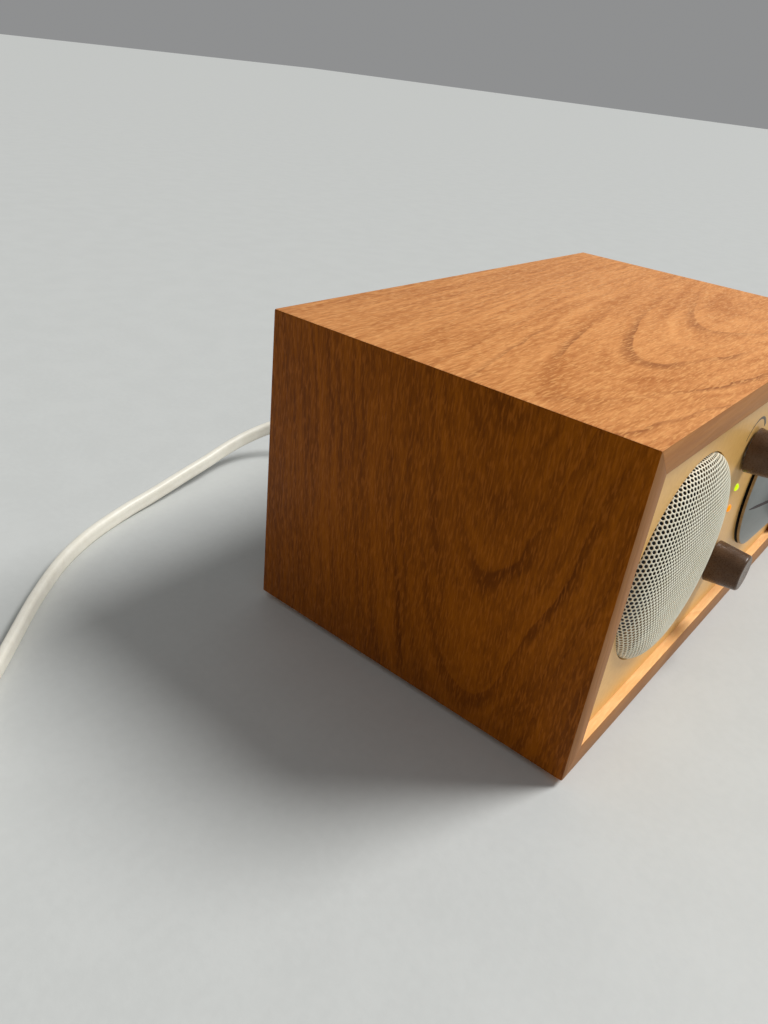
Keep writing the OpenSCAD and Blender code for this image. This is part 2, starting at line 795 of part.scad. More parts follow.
// Each spacer is a pillar with a stud into the floor and a screw's head above the board
module board_spacers() {
    color([0.8, 0.66, 0.36])
        for (p = spacer_places)
            translate([p[0], p[1], floor_z])
                rotate_extrude($fn = 48)
                    polygon([[0, -pin_l + 0.5], [screw_r, -pin_l + 0.5], [screw_r, 0], [3, 0], [3, spacer_h],
                        [screw_r, spacer_h], [screw_r, spacer_h + board_t], [head_r, spacer_h + board_t],
                        [head_r, spacer_h + board_t + head_h], [0, spacer_h + board_t + head_h]]);
}

// Radii and heights of the electrolytic cans
main_can_r = 6.3;
main_can_h = 20;
small_can_r = 5;
small_can_h = 16;
// Places of the cans, counted from the board's back right corner
can_inset = 12;
can_aside = 30;
can_ahead = 29;

module filter_capacitors() {
    color([0.15, 0.2, 0.35])
        for (c = [[can_inset, can_inset, main_can_r, main_can_h],
            [can_aside, can_inset, small_can_r, small_can_h],
            [can_inset, can_ahead, small_can_r, small_can_h]])
            translate([board_x + board_w - c[0], board_y + board_d - c[1], board_top])
                cylinder(r = c[2], h = c[3], $fn = 48);
}

// Screening cans of the tuned coils, with a hole for the core's screwdriver slot
can_w = 10;
can_h = 12;
can_pitch = 14;
core_hole_r = 2;

module coil_cans() {
    color([0.76, 0.77, 0.78])
        for (i = [0:3])
            translate([board_x + can_w + i * can_pitch, board_y + can_w, board_top])
                difference() {
                    cube([can_w, can_w, can_h]);
                    translate([can_w / 2, can_w / 2, can_h / 2])
                        cylinder(r = core_hole_r, h = can_h, $fn = 32);
                }
}

// Fins of the amplifier's heat sink
fins = 7;
fin_t = 1.6;
fin_pitch = 4;
fin_d = 9;
sink_h = 18;
sink_t = 2;

module heat_sink() {
    color([0.62, 0.64, 0.66])
        translate([board_x + 8, board_y + board_d / 2, board_top]) {
            cube([(fins - 1) * fin_pitch + fin_t, sink_t, sink_h]);
            for (i = [0:fins - 1])
                translate([i * fin_pitch, 0, 0]) cube([fin_t, sink_t + fin_d, sink_h]);
        }
}

// The mains transformer stands on the floor behind the loudspeaker
foot_plate = 1.2;
lug_l = 9;
limb = core_w / 6;
lug_x = core_w / 2 + 5;
core_aside = 8.5;
core_ahead = 34;
core_x = -(in_x - lug_x - core_aside);
core_y = rear_y - core_ahead;
core_z = floor_z + foot_plate;

module transformer_core() {
    color([0.42, 0.42, 0.43])
        difference() {
            union() {
                translate([core_x - core_w / 2, core_y - core_t / 2, core_z]) cube([core_w, core_t, core_h]);
                translate([core_x - core_w / 2 - lug_l, core_y - core_t / 2, floor_z])
                    cube([core_w + 2 * lug_l, core_t, foot_plate]);
            }
            for (s = [-1, 1]) {
                translate([core_x + s * limb * 1.5 - limb / 2, core_y - core_t, core_z + limb])
                    cube([limb, 2 * core_t, core_h - 2 * limb]);
                translate([core_x + s * lug_x, core_y, floor_z - 1])
                    cylinder(r = screw_r + screw_gap, h = 4, $fn = 32);
            }
        }
}

// The winding is wrapped round the middle limb
module transformer_winding() {
    w = limb - 0.4;
    color([0.85, 0.65, 0.2])
        translate([core_x, core_y, core_z + limb + 0.2])
            linear_extrude(core_h - 2 * limb - 0.4)
                difference() {
                    square([2 * (limb + w), core_t + 2 * w], center = true);
                    square([2 * limb + 0.4, core_t + 0.4], center = true);
                }
}

module transformer_screws() {
    color([0.75, 0.75, 0.72])
        for (s = [-1, 1])
            translate([core_x + s * lug_x, core_y, floor_z])
                rotate_extrude($fn = 48)
                    polygon([[0, -pin_l + 0.5], [screw_r, -pin_l + 0.5], [screw_r, foot_plate],
                        [head_r, foot_plate], [head_r * 0.6, foot_plate + head_h], [0, foot_plate + head_h]]);
}

// The ferrite rod lies under the top board
rod_y = rear_y - 24;
rod_z = ceil_z - 10;
clip_x = 45;
wire_t = 1.6;
rod_coil_l = 28;
clip_w = 6;

module ferrite_rod() {
    color([0.25, 0.24, 0.24])
        translate([-rod_l / 2, rod_y, rod_z]) rotate([0, 90, 0]) cylinder(r = rod_r, h = rod_l, $fn = 48);
}

module antenna_coil() {
    color([0.72, 0.42, 0.22])
        translate([2, rod_y, rod_z])
            rotate([0, 90, 0])
                difference() {
                    cylinder(r = rod_r + wire_t, h = rod_coil_l, $fn = 48);
                    translate([0, 0, -1]) cylinder(r = rod_r + grip_gap, h = rod_coil_l + 2, $fn = 48);
                }
}

module rod_clips() {
    color([0.9, 0.9, 0.88])
        for (x = [-clip_x, clip_x])
            difference() {
                translate([x - clip_w / 2, rod_y - rod_r - 2, rod_z - rod_r - 2])
                    cube([clip_w, 2 * rod_r + 4, ceil_z - rod_z + rod_r + 2]);
                translate([x - clip_w, rod_y, rod_z])
                    rotate([0, 90, 0]) cylinder(r = rod_r + grip_gap, h = 2 * clip_w, $fn = 48);
            }
}

// Sockets on the back panel
jack_side = 23.5;
jack_pitch = 22;
jack_x = [in_x - jack_side - jack_pitch, in_x - jack_side];
jack_z = axis_z - 6;
jack_bush_r = jack_r + 1.2;
jack_reach = 2.6;
jack_body = 15;
jack_w = 9;
jack_h = 12;
jack_nut = 1.6;

module jack_sockets() {
    color([0.14, 0.14, 0.15])
        for (x = jack_x)
            difference() {
                union() {
                    bar_y(x, jack_z, rear_y - back_t - 1, rear_y + jack_reach, jack_bush_r);
                    translate([x - jack_w / 2, rear_y - back_t - jack_body, jack_z - jack_h / 2])
                        cube([jack_w, jack_body, jack_h]);
                    translate([x, rear_y + jack_nut, jack_z])
                        rotate([90, 0, 0]) cylinder(r = jack_bush_r + 1.6, h = jack_nut, $fn = 6);
                }
                bar_y(x, jack_z, rear_y + jack_reach - jack_bore, rear_y + jack_reach + 1, jack_r);
            }
}

// The cord leaves the back panel through its ribbed strain relief
cord_x = 25;
cord_z = 34;
relief_r = 5.4;
ribs = 5;
rib_pitch = (relief_l - 3) / ribs;

module strain_relief() {
    color([0.93, 0.92, 0.87])
        turned(cord_x, rear_y, cord_z)
            polygon(concat([[0, back_t + 2.5], [relief_r + 1.2, back_t + 2.5], [relief_r + 1.2, back_t],
                [relief_r, back_t], [relief_r, 0], [relief_r + 2, 0], [relief_r + 2, -1.4],
                [relief_r + 1.4, -2]],
                [for (i = [0:ribs - 1], p = [[relief_r - 1, 0], [relief_r - 0.3, -0.3],
                    [relief_r - 0.3, -0.6 * rib_pitch], [relief_r - 1, -0.75 * rib_pitch]])
                    [p[0] - 0.06 * i, p[1] - 2 - i * rib_pitch]],
                [[relief_r - 1.3, -relief_l], [0, -relief_l]]));
}

// The cord's free stretch, point by point, with the height of its lower edge: it sinks to the table
// behind the cabinet and runs off to the left
route = [[25, 95, 30.6], [24, 107, 28.8], [21, 119, 26.2], [15.5, 131, 23.2], [8, 142, 20],
    [-1.5, 151, 17], [-12, 157.6, 14.4], [-24, 162, 11.8], [-37, 163.6, 9.3], [-50, 162.8, 7.1],
    [-62, 160.4, 5.7], [-74, 158.4, 4.5], [-86, 156.4, 3.1], [-98, 154.6, 1.6], [-110, 152.6, 0.6],
    [-121, 149.8, 0], [-132, 145.8, 0], [-143, 140.6, 0], [-154, 134, 0], [-165, 125.6, 0],
    [-176, 116.2, 0], [-187, 105.8, 0], [-198, 95.4, 0], [-209, 85.6, 0], [-220, 75.8, 0]];
coil_x = -262;
coil_y = 92;
start_angle = -48;
turns = 6.5;
steps = 24;
turn_pitch = cord_t + turn_gap;
layer_pitch = cord_w + turn_gap;
low_z = cord_w / 2;
high_z = low_z + layer_pitch;
start_way = [sin(start_angle), -cos(start_angle), 0];
end_way = [sin(start_angle - 360 * turns), -cos(start_angle - 360 * turns), 0];

// The coil spirals in on the table, climbs a layer in the half turn where it reverses, and spirals out on top
function eased(k) = let (c = min(max(k, 0), 1)) c * c * (3 - 2 * c);
function coil_point(t) = let (
    a = start_angle - 360 * t,
    inner = eased((0.45 - abs(t - turns / 2)) * 5) / 2,
    r = coil_out - turn_pitch * (min(t, turns - t) + inner),
    k = eased((t - turns / 2 + 0.25) * 2))
    [coil_x + r * cos(a), coil_y + r * sin(a), low_z + layer_pitch * k];
coil_line = concat([coil_point(0) - start_way * cord_w],
    [for (i = [0:turns * steps]) coil_point(i / steps)], [coil_point(turns) + end_way * (cord_w + 1.6)]);
cord_line = concat([[cord_x, rear_y + relief_l, cord_z]], [for (p = route) p + [0, 0, low_z]],
    [coil_line[0]]);

function unit(v) = v / norm(v);
function line_way(v, i) = unit(v[min(i + 1, len(v) - 1)] - v[max(i - 1, 0)]);
function ring(p, way, outline) = let (side = unit(cross(way, [0, 0, 1])), up = cross(side, way))
    [for (q = outline) p + side * q[0] + up * q[1]];
function ring_faces(rings, n) = concat(
    [for (i = [0:rings - 2], j = [0:n - 1], f = [
        [i * n + j, i * n + (j + 1) % n, (i + 1) * n + j],
        [(i + 1) * n + j, i * n + (j + 1) % n, (i + 1) * n + (j + 1) % n]]) f],
    [for (j = [1:n - 2]) [0, j + 1, j]],
    [for (j = [1:n - 2]) [(rings - 1) * n, (rings - 1) * n + j, (rings - 1) * n + j + 1]]);

// A flat cord on edge along a line, with its ends square to the given directions
module flat_cord(line, first_way, last_way, outline) {
    n = len(outline);
    rings = [for (i = [0:len(line) - 1])
        ring(line[i], i == 0 ? first_way : i == len(line) - 1 ? last_way : line_way(line, i), outline)];
    polyhedron([for (r = rings, p = r) p], ring_faces(len(line), n));
}

module power_cord() {
    w = cord_t / 2;
    h = cord_w / 2;
    color([0.94, 0.92, 0.87])
        flat_cord(cord_line, [0, 1, 0], start_way, [[w, -h + 1.2], [w, h - 1.2], [w / 2, h], [-w / 2, h],
            [-w, h - 1.2], [-w, -h + 1.2], [-w / 2, -h], [w / 2, -h]]);
}

module cord_coil() {
    w = cord_t / 2;
    h = cord_w / 2;
    color([0.94, 0.92, 0.87])
        flat_cord(coil_line, start_way, end_way, [[w, -h + 1], [w, h - 1], [0, h], [-w, h - 1],
            [-w, -h + 1], [0, -h]]);
}

// The least gap of the coil to itself, at its points
wound = [for (i = [0:turns * steps]) coil_point(i / steps)];
function point_gap(a, b) = max(norm([a[0] - b[0], a[1] - b[1]]) - cord_t, abs(a[2] - b[2]) - cord_w);
self_gap = min([for (i = [0:len(wound) - 1 - steps / 2], j = [i + steps / 2:len(wound) - 1])
    point_gap(wound[i], wound[j])]);
echo(str("least gap of the coil to itself: ", self_gap, " mm"));

// The plug lies on its narrow side, in line with the coil's end
plug_neck = 9;
blade_w = 6.35;
blade_t = 1.5;
blade_gap = 12.7;

module plug_place() {
    translate(coil_line[len(coil_line) - 1]) rotate([0, 0, atan2(end_way[1], end_way[0])]) children();
}

// A rounded slab across the plug's axis
module slab(x, w, h, r) {
    translate([x, 0, 0])
        rotate([90, 0, 90])
            linear_extrude(0.2)
                hull()
                    for (s = [-1, 1], t = [-1, 1])
                        translate([s * (w / 2 - r), t * (h / 2 - r)]) circle(r = r, $fn = 24);
}

module plug_body() {
    color([0.94, 0.92, 0.87])
        plug_place() {
            hull() {
                slab(0, cord_t + 2.4, cord_w + 2.4, 1.8);
                slab(plug_neck, cord_t + 4, cord_w + 5, 2.4);
            }
            hull() {
                slab(plug_neck, cord_t + 4, cord_w + 5, 2.4);
                slab(plug_neck + 6, plug_t, 2 * high_z, 4);
                slab(plug_neck + plug_l - 1.2, plug_t, 2 * high_z, 4);
                slab(plug_neck + plug_l - 0.2, plug_t - 1.6, 2 * high_z - 1.6, 3.4);
            }
        }
}

module plug_blades() {
    color([0.82, 0.72, 0.42])
        plug_place()
            for (s = [-1, 1])
                translate([plug_neck + plug_l, -blade_w / 2, s * blade_gap / 2 - blade_t / 2])
                    difference() {
                        union() {
                            cube([blade_l - 2, blade_w, blade_t]);
                            translate([blade_l - 2.1, 1, 0]) cube([2.1, blade_w - 2, blade_t]);
                        }
                        translate([blade_l - 5, blade_w / 2, -1])
                            cylinder(r = 1.6, h = blade_t + 2, $fn = 32);
                    }
}

top_board();
bottom_board();
left_side();
right_side();
corner_blocks();
block_screws();
rubber_feet();
front_panel();
baffle_board();
back_cleats();
back_panel();
back_screws();
speaker_grille();
speaker_gasket();
speaker_basket();
speaker_screws();
speaker_surround();
speaker_cone();
dust_cap();
voice_coil();
speaker_spider();
speaker_top_plate();
speaker_magnet();
speaker_yoke();
volume_knob();
volume_shaft();
volume_control();
selector_knob();
selector_shaft();
selector_switch();
control_nuts();
green_lamp();
amber_lamp();
lamp_board();
tuning_knob();
tuning_shaft();
tuning_dial();
drive_housing();
drive_output();
capacitor_posts();
capacitor_frame();
capacitor_stator();
capacitor_rotor();
circuit_board();
board_spacers();
filter_capacitors();
coil_cans();
heat_sink();
transformer_core();
transformer_winding();
transformer_screws();
ferrite_rod();
antenna_coil();
rod_clips();
jack_sockets();
strain_relief();
power_cord();
cord_coil();
plug_body();
plug_blades();
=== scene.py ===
from math import cos, hypot, pi, radians, sin

import bmesh
import bpy
from mathutils import Matrix, Vector


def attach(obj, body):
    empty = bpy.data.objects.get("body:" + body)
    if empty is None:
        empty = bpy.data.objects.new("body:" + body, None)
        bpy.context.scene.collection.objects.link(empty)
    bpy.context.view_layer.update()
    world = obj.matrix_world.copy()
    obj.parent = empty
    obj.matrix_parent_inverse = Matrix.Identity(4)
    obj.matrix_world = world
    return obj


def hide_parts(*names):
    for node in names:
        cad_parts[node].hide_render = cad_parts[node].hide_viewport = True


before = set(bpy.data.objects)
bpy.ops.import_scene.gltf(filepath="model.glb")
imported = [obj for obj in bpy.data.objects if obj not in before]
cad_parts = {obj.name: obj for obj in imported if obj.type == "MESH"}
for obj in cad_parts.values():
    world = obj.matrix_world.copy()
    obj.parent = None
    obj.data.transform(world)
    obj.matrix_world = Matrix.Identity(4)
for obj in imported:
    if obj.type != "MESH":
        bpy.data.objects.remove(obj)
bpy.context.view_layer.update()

# The camera: it looks down on the radio's left front corner from close by, held a little
# askew, and its frame cuts the front off inside the tuning dial.
eye = Vector((-0.28335, -0.11415, 0.18369))
sight = Vector((0.7008, 0.5217, -0.4865)).normalized()
level = Vector((0.6405, -0.7604, 0.1073))
level = (level - sight * level.dot(sight)).normalized()
lens = bpy.data.cameras.new("camera")
lens.lens = 27.95
lens.sensor_width = 36
lens.clip_start = 0.01
camera = bpy.data.objects.new("camera", lens)
turn = Matrix((level, level.cross(sight), -sight)).transposed().to_4x4()
camera.matrix_world = Matrix.Translation(eye) @ turn
bpy.context.scene.collection.objects.link(camera)
bpy.context.scene.camera = camera
bpy.context.scene.view_settings.view_transform = "Standard"


# The power cord: a flat twin cord of warm white vinyl that stands on its narrow edge. It
# leaves the back through a ribbed relief, sinks to the table and runs off to the left, where
# its spare length lies in a coil of two layers, with the plug beside it.
# Sizes are in millimetres here and below, until a piece is finished.
MM = 0.001
cord_w = 6.4
cord_t = 3.8
turn_gap = 0.6
route = [(25, 88, 30.8), (25, 95, 30.6), (24, 107, 28.8), (21, 119, 26.2), (15.5, 131, 23.2),
         (8, 142, 20), (-1.5, 151, 17), (-12, 157.6, 14.4), (-24, 162, 11.8), (-37, 163.6, 9.3),
         (-50, 162.8, 7.1), (-62, 160.4, 5.7), (-74, 158.4, 4.5), (-86, 156.4, 3.1),
         (-98, 154.6, 1.6), (-110, 152.6, 0.6), (-121, 149.8, 0), (-132, 145.8, 0),
         (-143, 140.6, 0), (-154, 134, 0), (-165, 125.6, 0), (-176, 116.2, 0), (-187, 105.8, 0),
         (-198, 95.4, 0), (-209, 85.6, 0), (-220, 75.8, 0)]
coil_at = (-262, 92)
coil_out = 39.4
start_angle = radians(-48)
turns = 6.5
turn_steps = 48
turn_pitch = cord_t + turn_gap
# How many turns before and after its middle the coil moves in by half a pitch, and climbs
inward_turns = 0.45
climb_turns = 0.25
plug_room = 1.6
run_parts = 3


def eased(share):
    """0 to 1 with a smooth start and end."""
    share = min(max(share, 0), 1)
    return share * share * (3 - 2 * share)


def coil_point(turn):
    """A point of the coil: it winds inwards on the table, climbs, and winds outwards on top."""
    angle = start_angle - 2 * pi * turn
    inner = eased((inward_turns - abs(turn - turns / 2)) / (inward_turns - climb_turns)) / 2
    radius = coil_out - turn_pitch * (min(turn, turns - turn) + inner)
    climb = (cord_w + turn_gap) * eased((turn - turns / 2 + climb_turns) / (2 * climb_turns))
    return Vector((coil_at[0] + radius * cos(angle), coil_at[1] + radius * sin(angle),
                   cord_w / 2 + climb))


def way_at(turn):
    """The coil's direction at a turn."""
    angle = start_angle - 2 * pi * turn
    return Vector((sin(angle), -cos(angle), 0))


def smoothed(points, parts):
    """A smooth line through the points, each stretch in parts."""
    line = []
    for i in range(len(points) - 1):
        a, b, c, d = (points[min(max(i + k, 0), len(points) - 1)] for k in (-1, 0, 1, 2))
        for k in range(parts):
            t = k / parts
            line.append(0.5 * (2 * b + (c - a) * t + (2 * a - 5 * b + 4 * c - d) * t * t
                               + (3 * b - a - 3 * c + d) * t * t * t))
    return line + [points[-1]]


run = [Vector(p) + Vector((0, 0, cord_w / 2)) for p in route]
run.append(coil_point(0) - way_at(0) * cord_w)
coil = [coil_point(i / turn_steps) for i in range(int(turns * turn_steps) + 1)]
cord_end = coil[-1] + way_at(turns) * (cord_w + plug_room)
cord_line = [p * MM for p in smoothed(run, run_parts) + coil + [cord_end]]


def squared(value, power):
    """A value from -1 to 1 pushed outwards by a power below 1, which squares a circle."""
    return abs(value) ** power * (1 if value > 0 else -1)


# The section of the twin cord: flat sides, round edges, and a groove along each side
outline_sides = 24
groove_depth = 0.22
groove_half = 0.9
cord_outline = []
for i in range(outline_sides):
    angle = 2 * pi * (i + 0.5) / outline_sides
    across = squared(cos(angle), 0.55) * cord_t / 2
    up = squared(sin(angle), 0.8) * cord_w / 2
    dent = groove_depth * max(0, 1 - (up / groove_half) ** 2) * (1 if across > 0 else -1)
    cord_outline.append((across - dent, up))


def drawn_mesh(made):
    """The mesh that a curve or a text gives. The object itself goes."""
    bpy.context.scene.collection.objects.link(made)
    bpy.context.view_layer.update()
    skin = bpy.data.meshes.new_from_object(made.evaluated_get(bpy.context.evaluated_depsgraph_get()))
    bpy.data.objects.remove(made)
    return skin


def swept(name, line, outline):
    """A mesh tube with that outline along the line, which stays upright."""
    section = bpy.data.curves.new(name + "_section", "CURVE")
    section.dimensions = "2D"
    edge = section.splines.new("POLY")
    edge.points.add(len(outline) - 1)
    for point, (across, up) in zip(edge.points, outline):
        point.co = (across * MM, up * MM, 0, 1)
    edge.use_cyclic_u = True
    section_piece = bpy.data.objects.new(name + "_section", section)
    curve = bpy.data.curves.new(name, "CURVE")
    curve.dimensions = "3D"
    curve.twist_mode = "Z_UP"
    curve.bevel_mode = "OBJECT"
    curve.bevel_object = section_piece
    curve.use_fill_caps = True
    spline = curve.splines.new("POLY")
    spline.points.add(len(line) - 1)
    for point, at in zip(spline.points, line):
        point.co = (*at, 1)
    bpy.context.scene.collection.objects.link(section_piece)
    skin = drawn_mesh(bpy.data.objects.new(name, curve))
    shape = bmesh.new()
    shape.from_mesh(skin)
    bpy.data.objects.remove(section_piece)
    bpy.data.meshes.remove(skin)
    bmesh.ops.remove_doubles(shape, verts=shape.verts, dist=1e-6)
    bmesh.ops.recalc_face_normals(shape, faces=shape.faces)
    bmesh.ops.scale(shape, vec=(1 / MM, 1 / MM, 1 / MM), verts=shape.verts)
    return shape


class Shade:
    """A number, colour or place that varies over a surface: one socket, with plain sums."""

    def __init__(self, finish, socket):
        self.finish = finish
        self.socket = socket

    def maths(self, operation, first, second=0.0):
        return self.finish.node("ShaderNodeMath", {"operation": operation}, {0: first, 1: second})

    def __add__(self, other):
        return self.maths("ADD", self, other)

    def __sub__(self, other):
        return self.maths("SUBTRACT", self, other)

    def __rsub__(self, other):
        return self.maths("SUBTRACT", other, self)

    def __mul__(self, other):
        return self.maths("MULTIPLY", self, other)

    def __truediv__(self, other):
        return self.maths("DIVIDE", self, other)

    __radd__ = __add__
    __rmul__ = __mul__

    def after_point(self):
        return self.maths("FRACT", self)

    def root(self):
        return self.maths("SQRT", self)


class Finish:
    """A procedural finish: one shader, fed by noise and by bands between two or three tones."""

    def __init__(self, name, **fixed):
        self.material = bpy.data.materials.new(name)
        self.material.use_nodes = True
        self.tree = self.material.node_tree
        self.shader = self.tree.nodes["Principled BSDF"]
        for word, value in fixed.items():
            self.feed(word.replace("_", " ").title().replace("Ior", "IOR"), value)

    def node(self, kind, settings=None, sockets=None, out=0):
        made = self.tree.nodes.new(kind)
        for word, value in (settings or {}).items():
            setattr(made, word, value)
        for socket, value in (sockets or {}).items():
            self.join(made.inputs[socket], value)
        return Shade(self, made.outputs[out])

    def join(self, socket, value):
        if isinstance(value, Shade):
            self.tree.links.new(value.socket, socket)
        elif socket.type == "RGBA":
            socket.default_value = (*value, 1)
        else:
            socket.default_value = value

    def feed(self, socket, value):
        self.join(self.shader.inputs[socket], value)

    def place(self, stretch=(1, 1, 1)):
        """The place on the object in metres, scaled along each axis."""
        at = self.node("ShaderNodeTexCoord", out="Object")
        return self.node("ShaderNodeVectorMath", {"operation": "MULTIPLY"}, {0: at, 1: stretch})

    def axis(self, letter):
        """One coordinate of the object, in millimetres."""
        return self.node("ShaderNodeSeparateXYZ", None, {0: self.place()}, letter) * (1 / MM)

    def noise(self, at, size, detail=2.0, bend=0.0):
        """Soft noise with grains of a size in millimetres."""
        sockets = {"Vector": at, "Scale": 1 / (size * MM), "Detail": detail, "Distortion": bend}
        return self.node("ShaderNodeTexNoise", None, sockets)

    def step(self, value, low, high):
        """0 below low and 1 above high, with a smooth rise."""
        sockets = {"Value": value, "From Min": low, "From Max": high}
        return self.node("ShaderNodeMapRange", {"interpolation_type": "SMOOTHSTEP"}, sockets)

    def tint(self, share, first, second, way="MIX"):
        settings = {"data_type": "RGBA", "blend_type": way}
        return self.node("ShaderNodeMix", settings, {0: share, 6: first, 7: second}, 2)

    def relief(self, height, depth):
        """Bumps of a depth in millimetres."""
        bump = self.node("ShaderNodeBump", None, {"Strength": 1.0, "Distance": depth * MM, "Height": height})
        self.feed("Normal", bump)


def paint(*shade):
    """A colour as it is seen, in steps of 255, for the shader."""
    return tuple(((c / 255 + 0.055) / 1.055) ** 2.4 for c in shade)


def mottled(name, light, dark, grain, gloss, depth, stretch=(1, 1, 1), **fixed):
    """A finish between two tones, with grains of a size in millimetres."""
    finish = Finish(name, **fixed)
    at = finish.place(stretch)
    coarse = finish.noise(at, grain * 8, 3)
    fine = finish.noise(at, grain, 3)
    share = finish.step(coarse * 0.6 + fine * 0.4, 0.36, 0.64)
    finish.feed("Base Color", finish.tint(share, paint(*dark), paint(*light)))
    finish.feed("Roughness", gloss + (fine - 0.5) * 0.12)
    finish.relief(fine, depth)
    return finish


def piece(name, shape, finishes, body, stands_for=(), crease=32):
    """A finished piece: in metres, with its edges shaded, its finish and the body it rides."""
    bmesh.ops.scale(shape, vec=(MM, MM, MM), verts=shape.verts)
    skin = bpy.data.meshes.new(name)
    shape.to_mesh(skin)
    shape.free()
    skin.shade_smooth()
    skin.set_sharp_from_angle(angle=radians(crease))
    for finish in finishes:
        skin.materials.append(finish.material)
    made = bpy.data.objects.new(name, skin)
    bpy.context.scene.collection.objects.link(made)
    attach(made, body)
    if stands_for:
        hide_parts(*stands_for)
    return made


def dress(finish, *names):
    """A CAD node keeps its shape and gets the finish."""
    for name in names:
        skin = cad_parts[name].data
        skin.materials.clear()
        skin.materials.append(finish.material)


vinyl = mottled("cord_vinyl", (250, 246, 232), (243, 238, 222), 0.5, 0.42, 0.03)
power_cord = piece("flat_power_cord", swept("cord_draft", cord_line, cord_outline), [vinyl], "root",
                   ("power_cord", "cord_coil"), crease=50)
dress(vinyl, "strain_relief")


# The plug: a moulded white body with grip ribs and a neck that holds the cord's end, lying
# on its narrow side, and two flat brass blades with a hole near the tip.
def lofted(rings):
    """A closed body through rounded rings: place along X, width, height and squareness."""
    shape = bmesh.new()
    loops = []
    for along, width, height, square in rings:
        ring = bmesh.ops.create_circle(shape, segments=40, radius=1)["verts"]
        for vert in ring:
            across, up = vert.co.x, vert.co.y
            vert.co = (along, squared(across, square) * width / 2, squared(up, square) * height / 2)
        loops.append(ring)
    edges = [{e for v in ring for e in v.link_edges} for ring in loops]
    for first, second in zip(edges, edges[1:]):
        bmesh.ops.bridge_loops(shape, edges=list(first | second))
    for ring in (edges[0], edges[-1]):
        bmesh.ops.edgeloop_fill(shape, edges=list(ring))
    bmesh.ops.recalc_face_normals(shape, faces=shape.faces)
    return shape


plug_neck = 9
plug_l = 24
plug_t = 15
plug_h = 20.4
# The mouth round the cord and the ribs of the neck
plug_rings = [(-1, 4.6, 7.2, 0.7), (0, 5.6, 8.4, 0.7), (0.6, 6.2, 8.8, 0.7)]
plug_rings += [(1.4 + 1.9 * i + d, 6.1 + 0.35 * i - s, 8.8 + 0.55 * i - s, 0.68)
               for i in range(4) for d, s in ((0, 0), (0.9, 0), (1.1, 0.9), (1.7, 0.9))]
# The shoulder, the ribs of the grip, and the end that carries the blades
plug_rings += [(plug_neck + a, plug_t * w, plug_h * h, 0.5)
               for a, w, h in ((0, 0.52, 0.56), (2, 0.66, 0.7), (4, 0.86, 0.88), (6, 0.985, 0.985),
                               (7.5, 0.99, 0.99))]
plug_rings += [(plug_neck + 9 + 2.4 * i + d, plug_t * 0.99 - s, plug_h * 0.99 - s * 0.5, 0.46)
               for i in range(4) for d, s in ((0, 0), (0.3, 1.1), (1.0, 1.1), (1.3, 0))]
plug_rings += [(plug_neck + a, plug_t - s, plug_h - s, 0.44)
               for a, s in ((19.5, 0.2), (plug_l - 1.2, 0.2), (plug_l - 0.5, 0.6), (plug_l - 0.2, 1.6))]
plug_angle = way_at(turns).xy.angle_signed(Vector((1, 0)))
plug_place = Matrix.Translation(cord_end) @ Matrix.Rotation(plug_angle, 4, "Z")
plug_shape = lofted(plug_rings)
bmesh.ops.transform(plug_shape, matrix=plug_place, verts=plug_shape.verts)
plug = piece("moulded_plug", plug_shape, [vinyl], "root", ("plug_body",), crease=40)

brass = mottled("drawn_brass", (214, 186, 112), (176, 142, 74), 0.3, 0.34, 0.01,
                stretch=(0.25, 1, 1), metallic=0.85)
dress(brass, "plug_blades")


# The coil's tie: a flat band of white paper with a wire in it, once round the turns, its ends
# twisted together on top.
tie_angle = radians(35)
tie_w = 4.0
tie_t = 0.3
tie_room = 0.4
# How many pitches inside the coil's start the outermost and innermost turns lie there
tie_first, tie_last = 0.73, 2.77
tie_in = coil_out - tie_last * turn_pitch - cord_t / 2 - tie_room
tie_out = coil_out - tie_first * turn_pitch + cord_t / 2 + tie_room
tie_middle = (tie_in + tie_out) / 2
tie_top = 2 * cord_w + turn_gap + tie_room


def extruded(shape, edges):
    """Edges drawn out by one row of faces. It gives the row's new vertices."""
    drawn = bmesh.ops.extrude_edge_only(shape, edges=edges)["geom"]
    return [v for v in drawn if isinstance(v, bmesh.types.BMVert)]


def joined(shape, part):
    """Another shape's mesh added to a shape."""
    draft = bpy.data.meshes.new("draft")
    part.to_mesh(draft)
    part.free()
    shape.from_mesh(draft)
    bpy.data.meshes.remove(draft)


tie = bmesh.new()
for vert in bmesh.ops.create_circle(tie, segments=56, radius=1)["verts"]:
    vert.co = (tie_middle + squared(vert.co.x, 0.3) * (tie_out - tie_in) / 2, -tie_w / 2,
               tie_top / 2 + squared(vert.co.y, 0.3) * (tie_top / 2 - tie_t))
bmesh.ops.translate(tie, vec=(0, tie_w, 0), verts=extruded(tie, tie.edges[:]))
bmesh.ops.recalc_face_normals(tie, faces=tie.faces)
bmesh.ops.solidify(tie, geom=tie.faces[:], thickness=tie_t)
end_l = 10
end_steps = 32
end_twists = 3
end_twisted = 0.7
end_outline = [(0.9 * cos(i * pi / 4), tie_t * sin(i * pi / 4)) for i in range(8)]
for side in (0, pi):
    tail = []
    for i in range(end_steps + 1):
        share = i / end_steps
        wind = side + 2 * pi * end_twists * min(share, end_twisted)
        spread = 0.55 + 3.4 * max(0, share - end_twisted)
        tail.append(Vector((tie_middle + spread * cos(wind), -end_l * share,
                            tie_top + 0.9 + spread * 0.8 * sin(wind))) * MM)
    joined(tie, swept("tie_end", tail, end_outline))
bmesh.ops.transform(tie, matrix=Matrix.Translation((*coil_at, 0)) @ Matrix.Rotation(tie_angle, 4, "Z"),
                    verts=tie.verts)
tie_paper = mottled("tie_paper", (236, 236, 232), (214, 214, 210), 0.25, 0.7, 0.03)
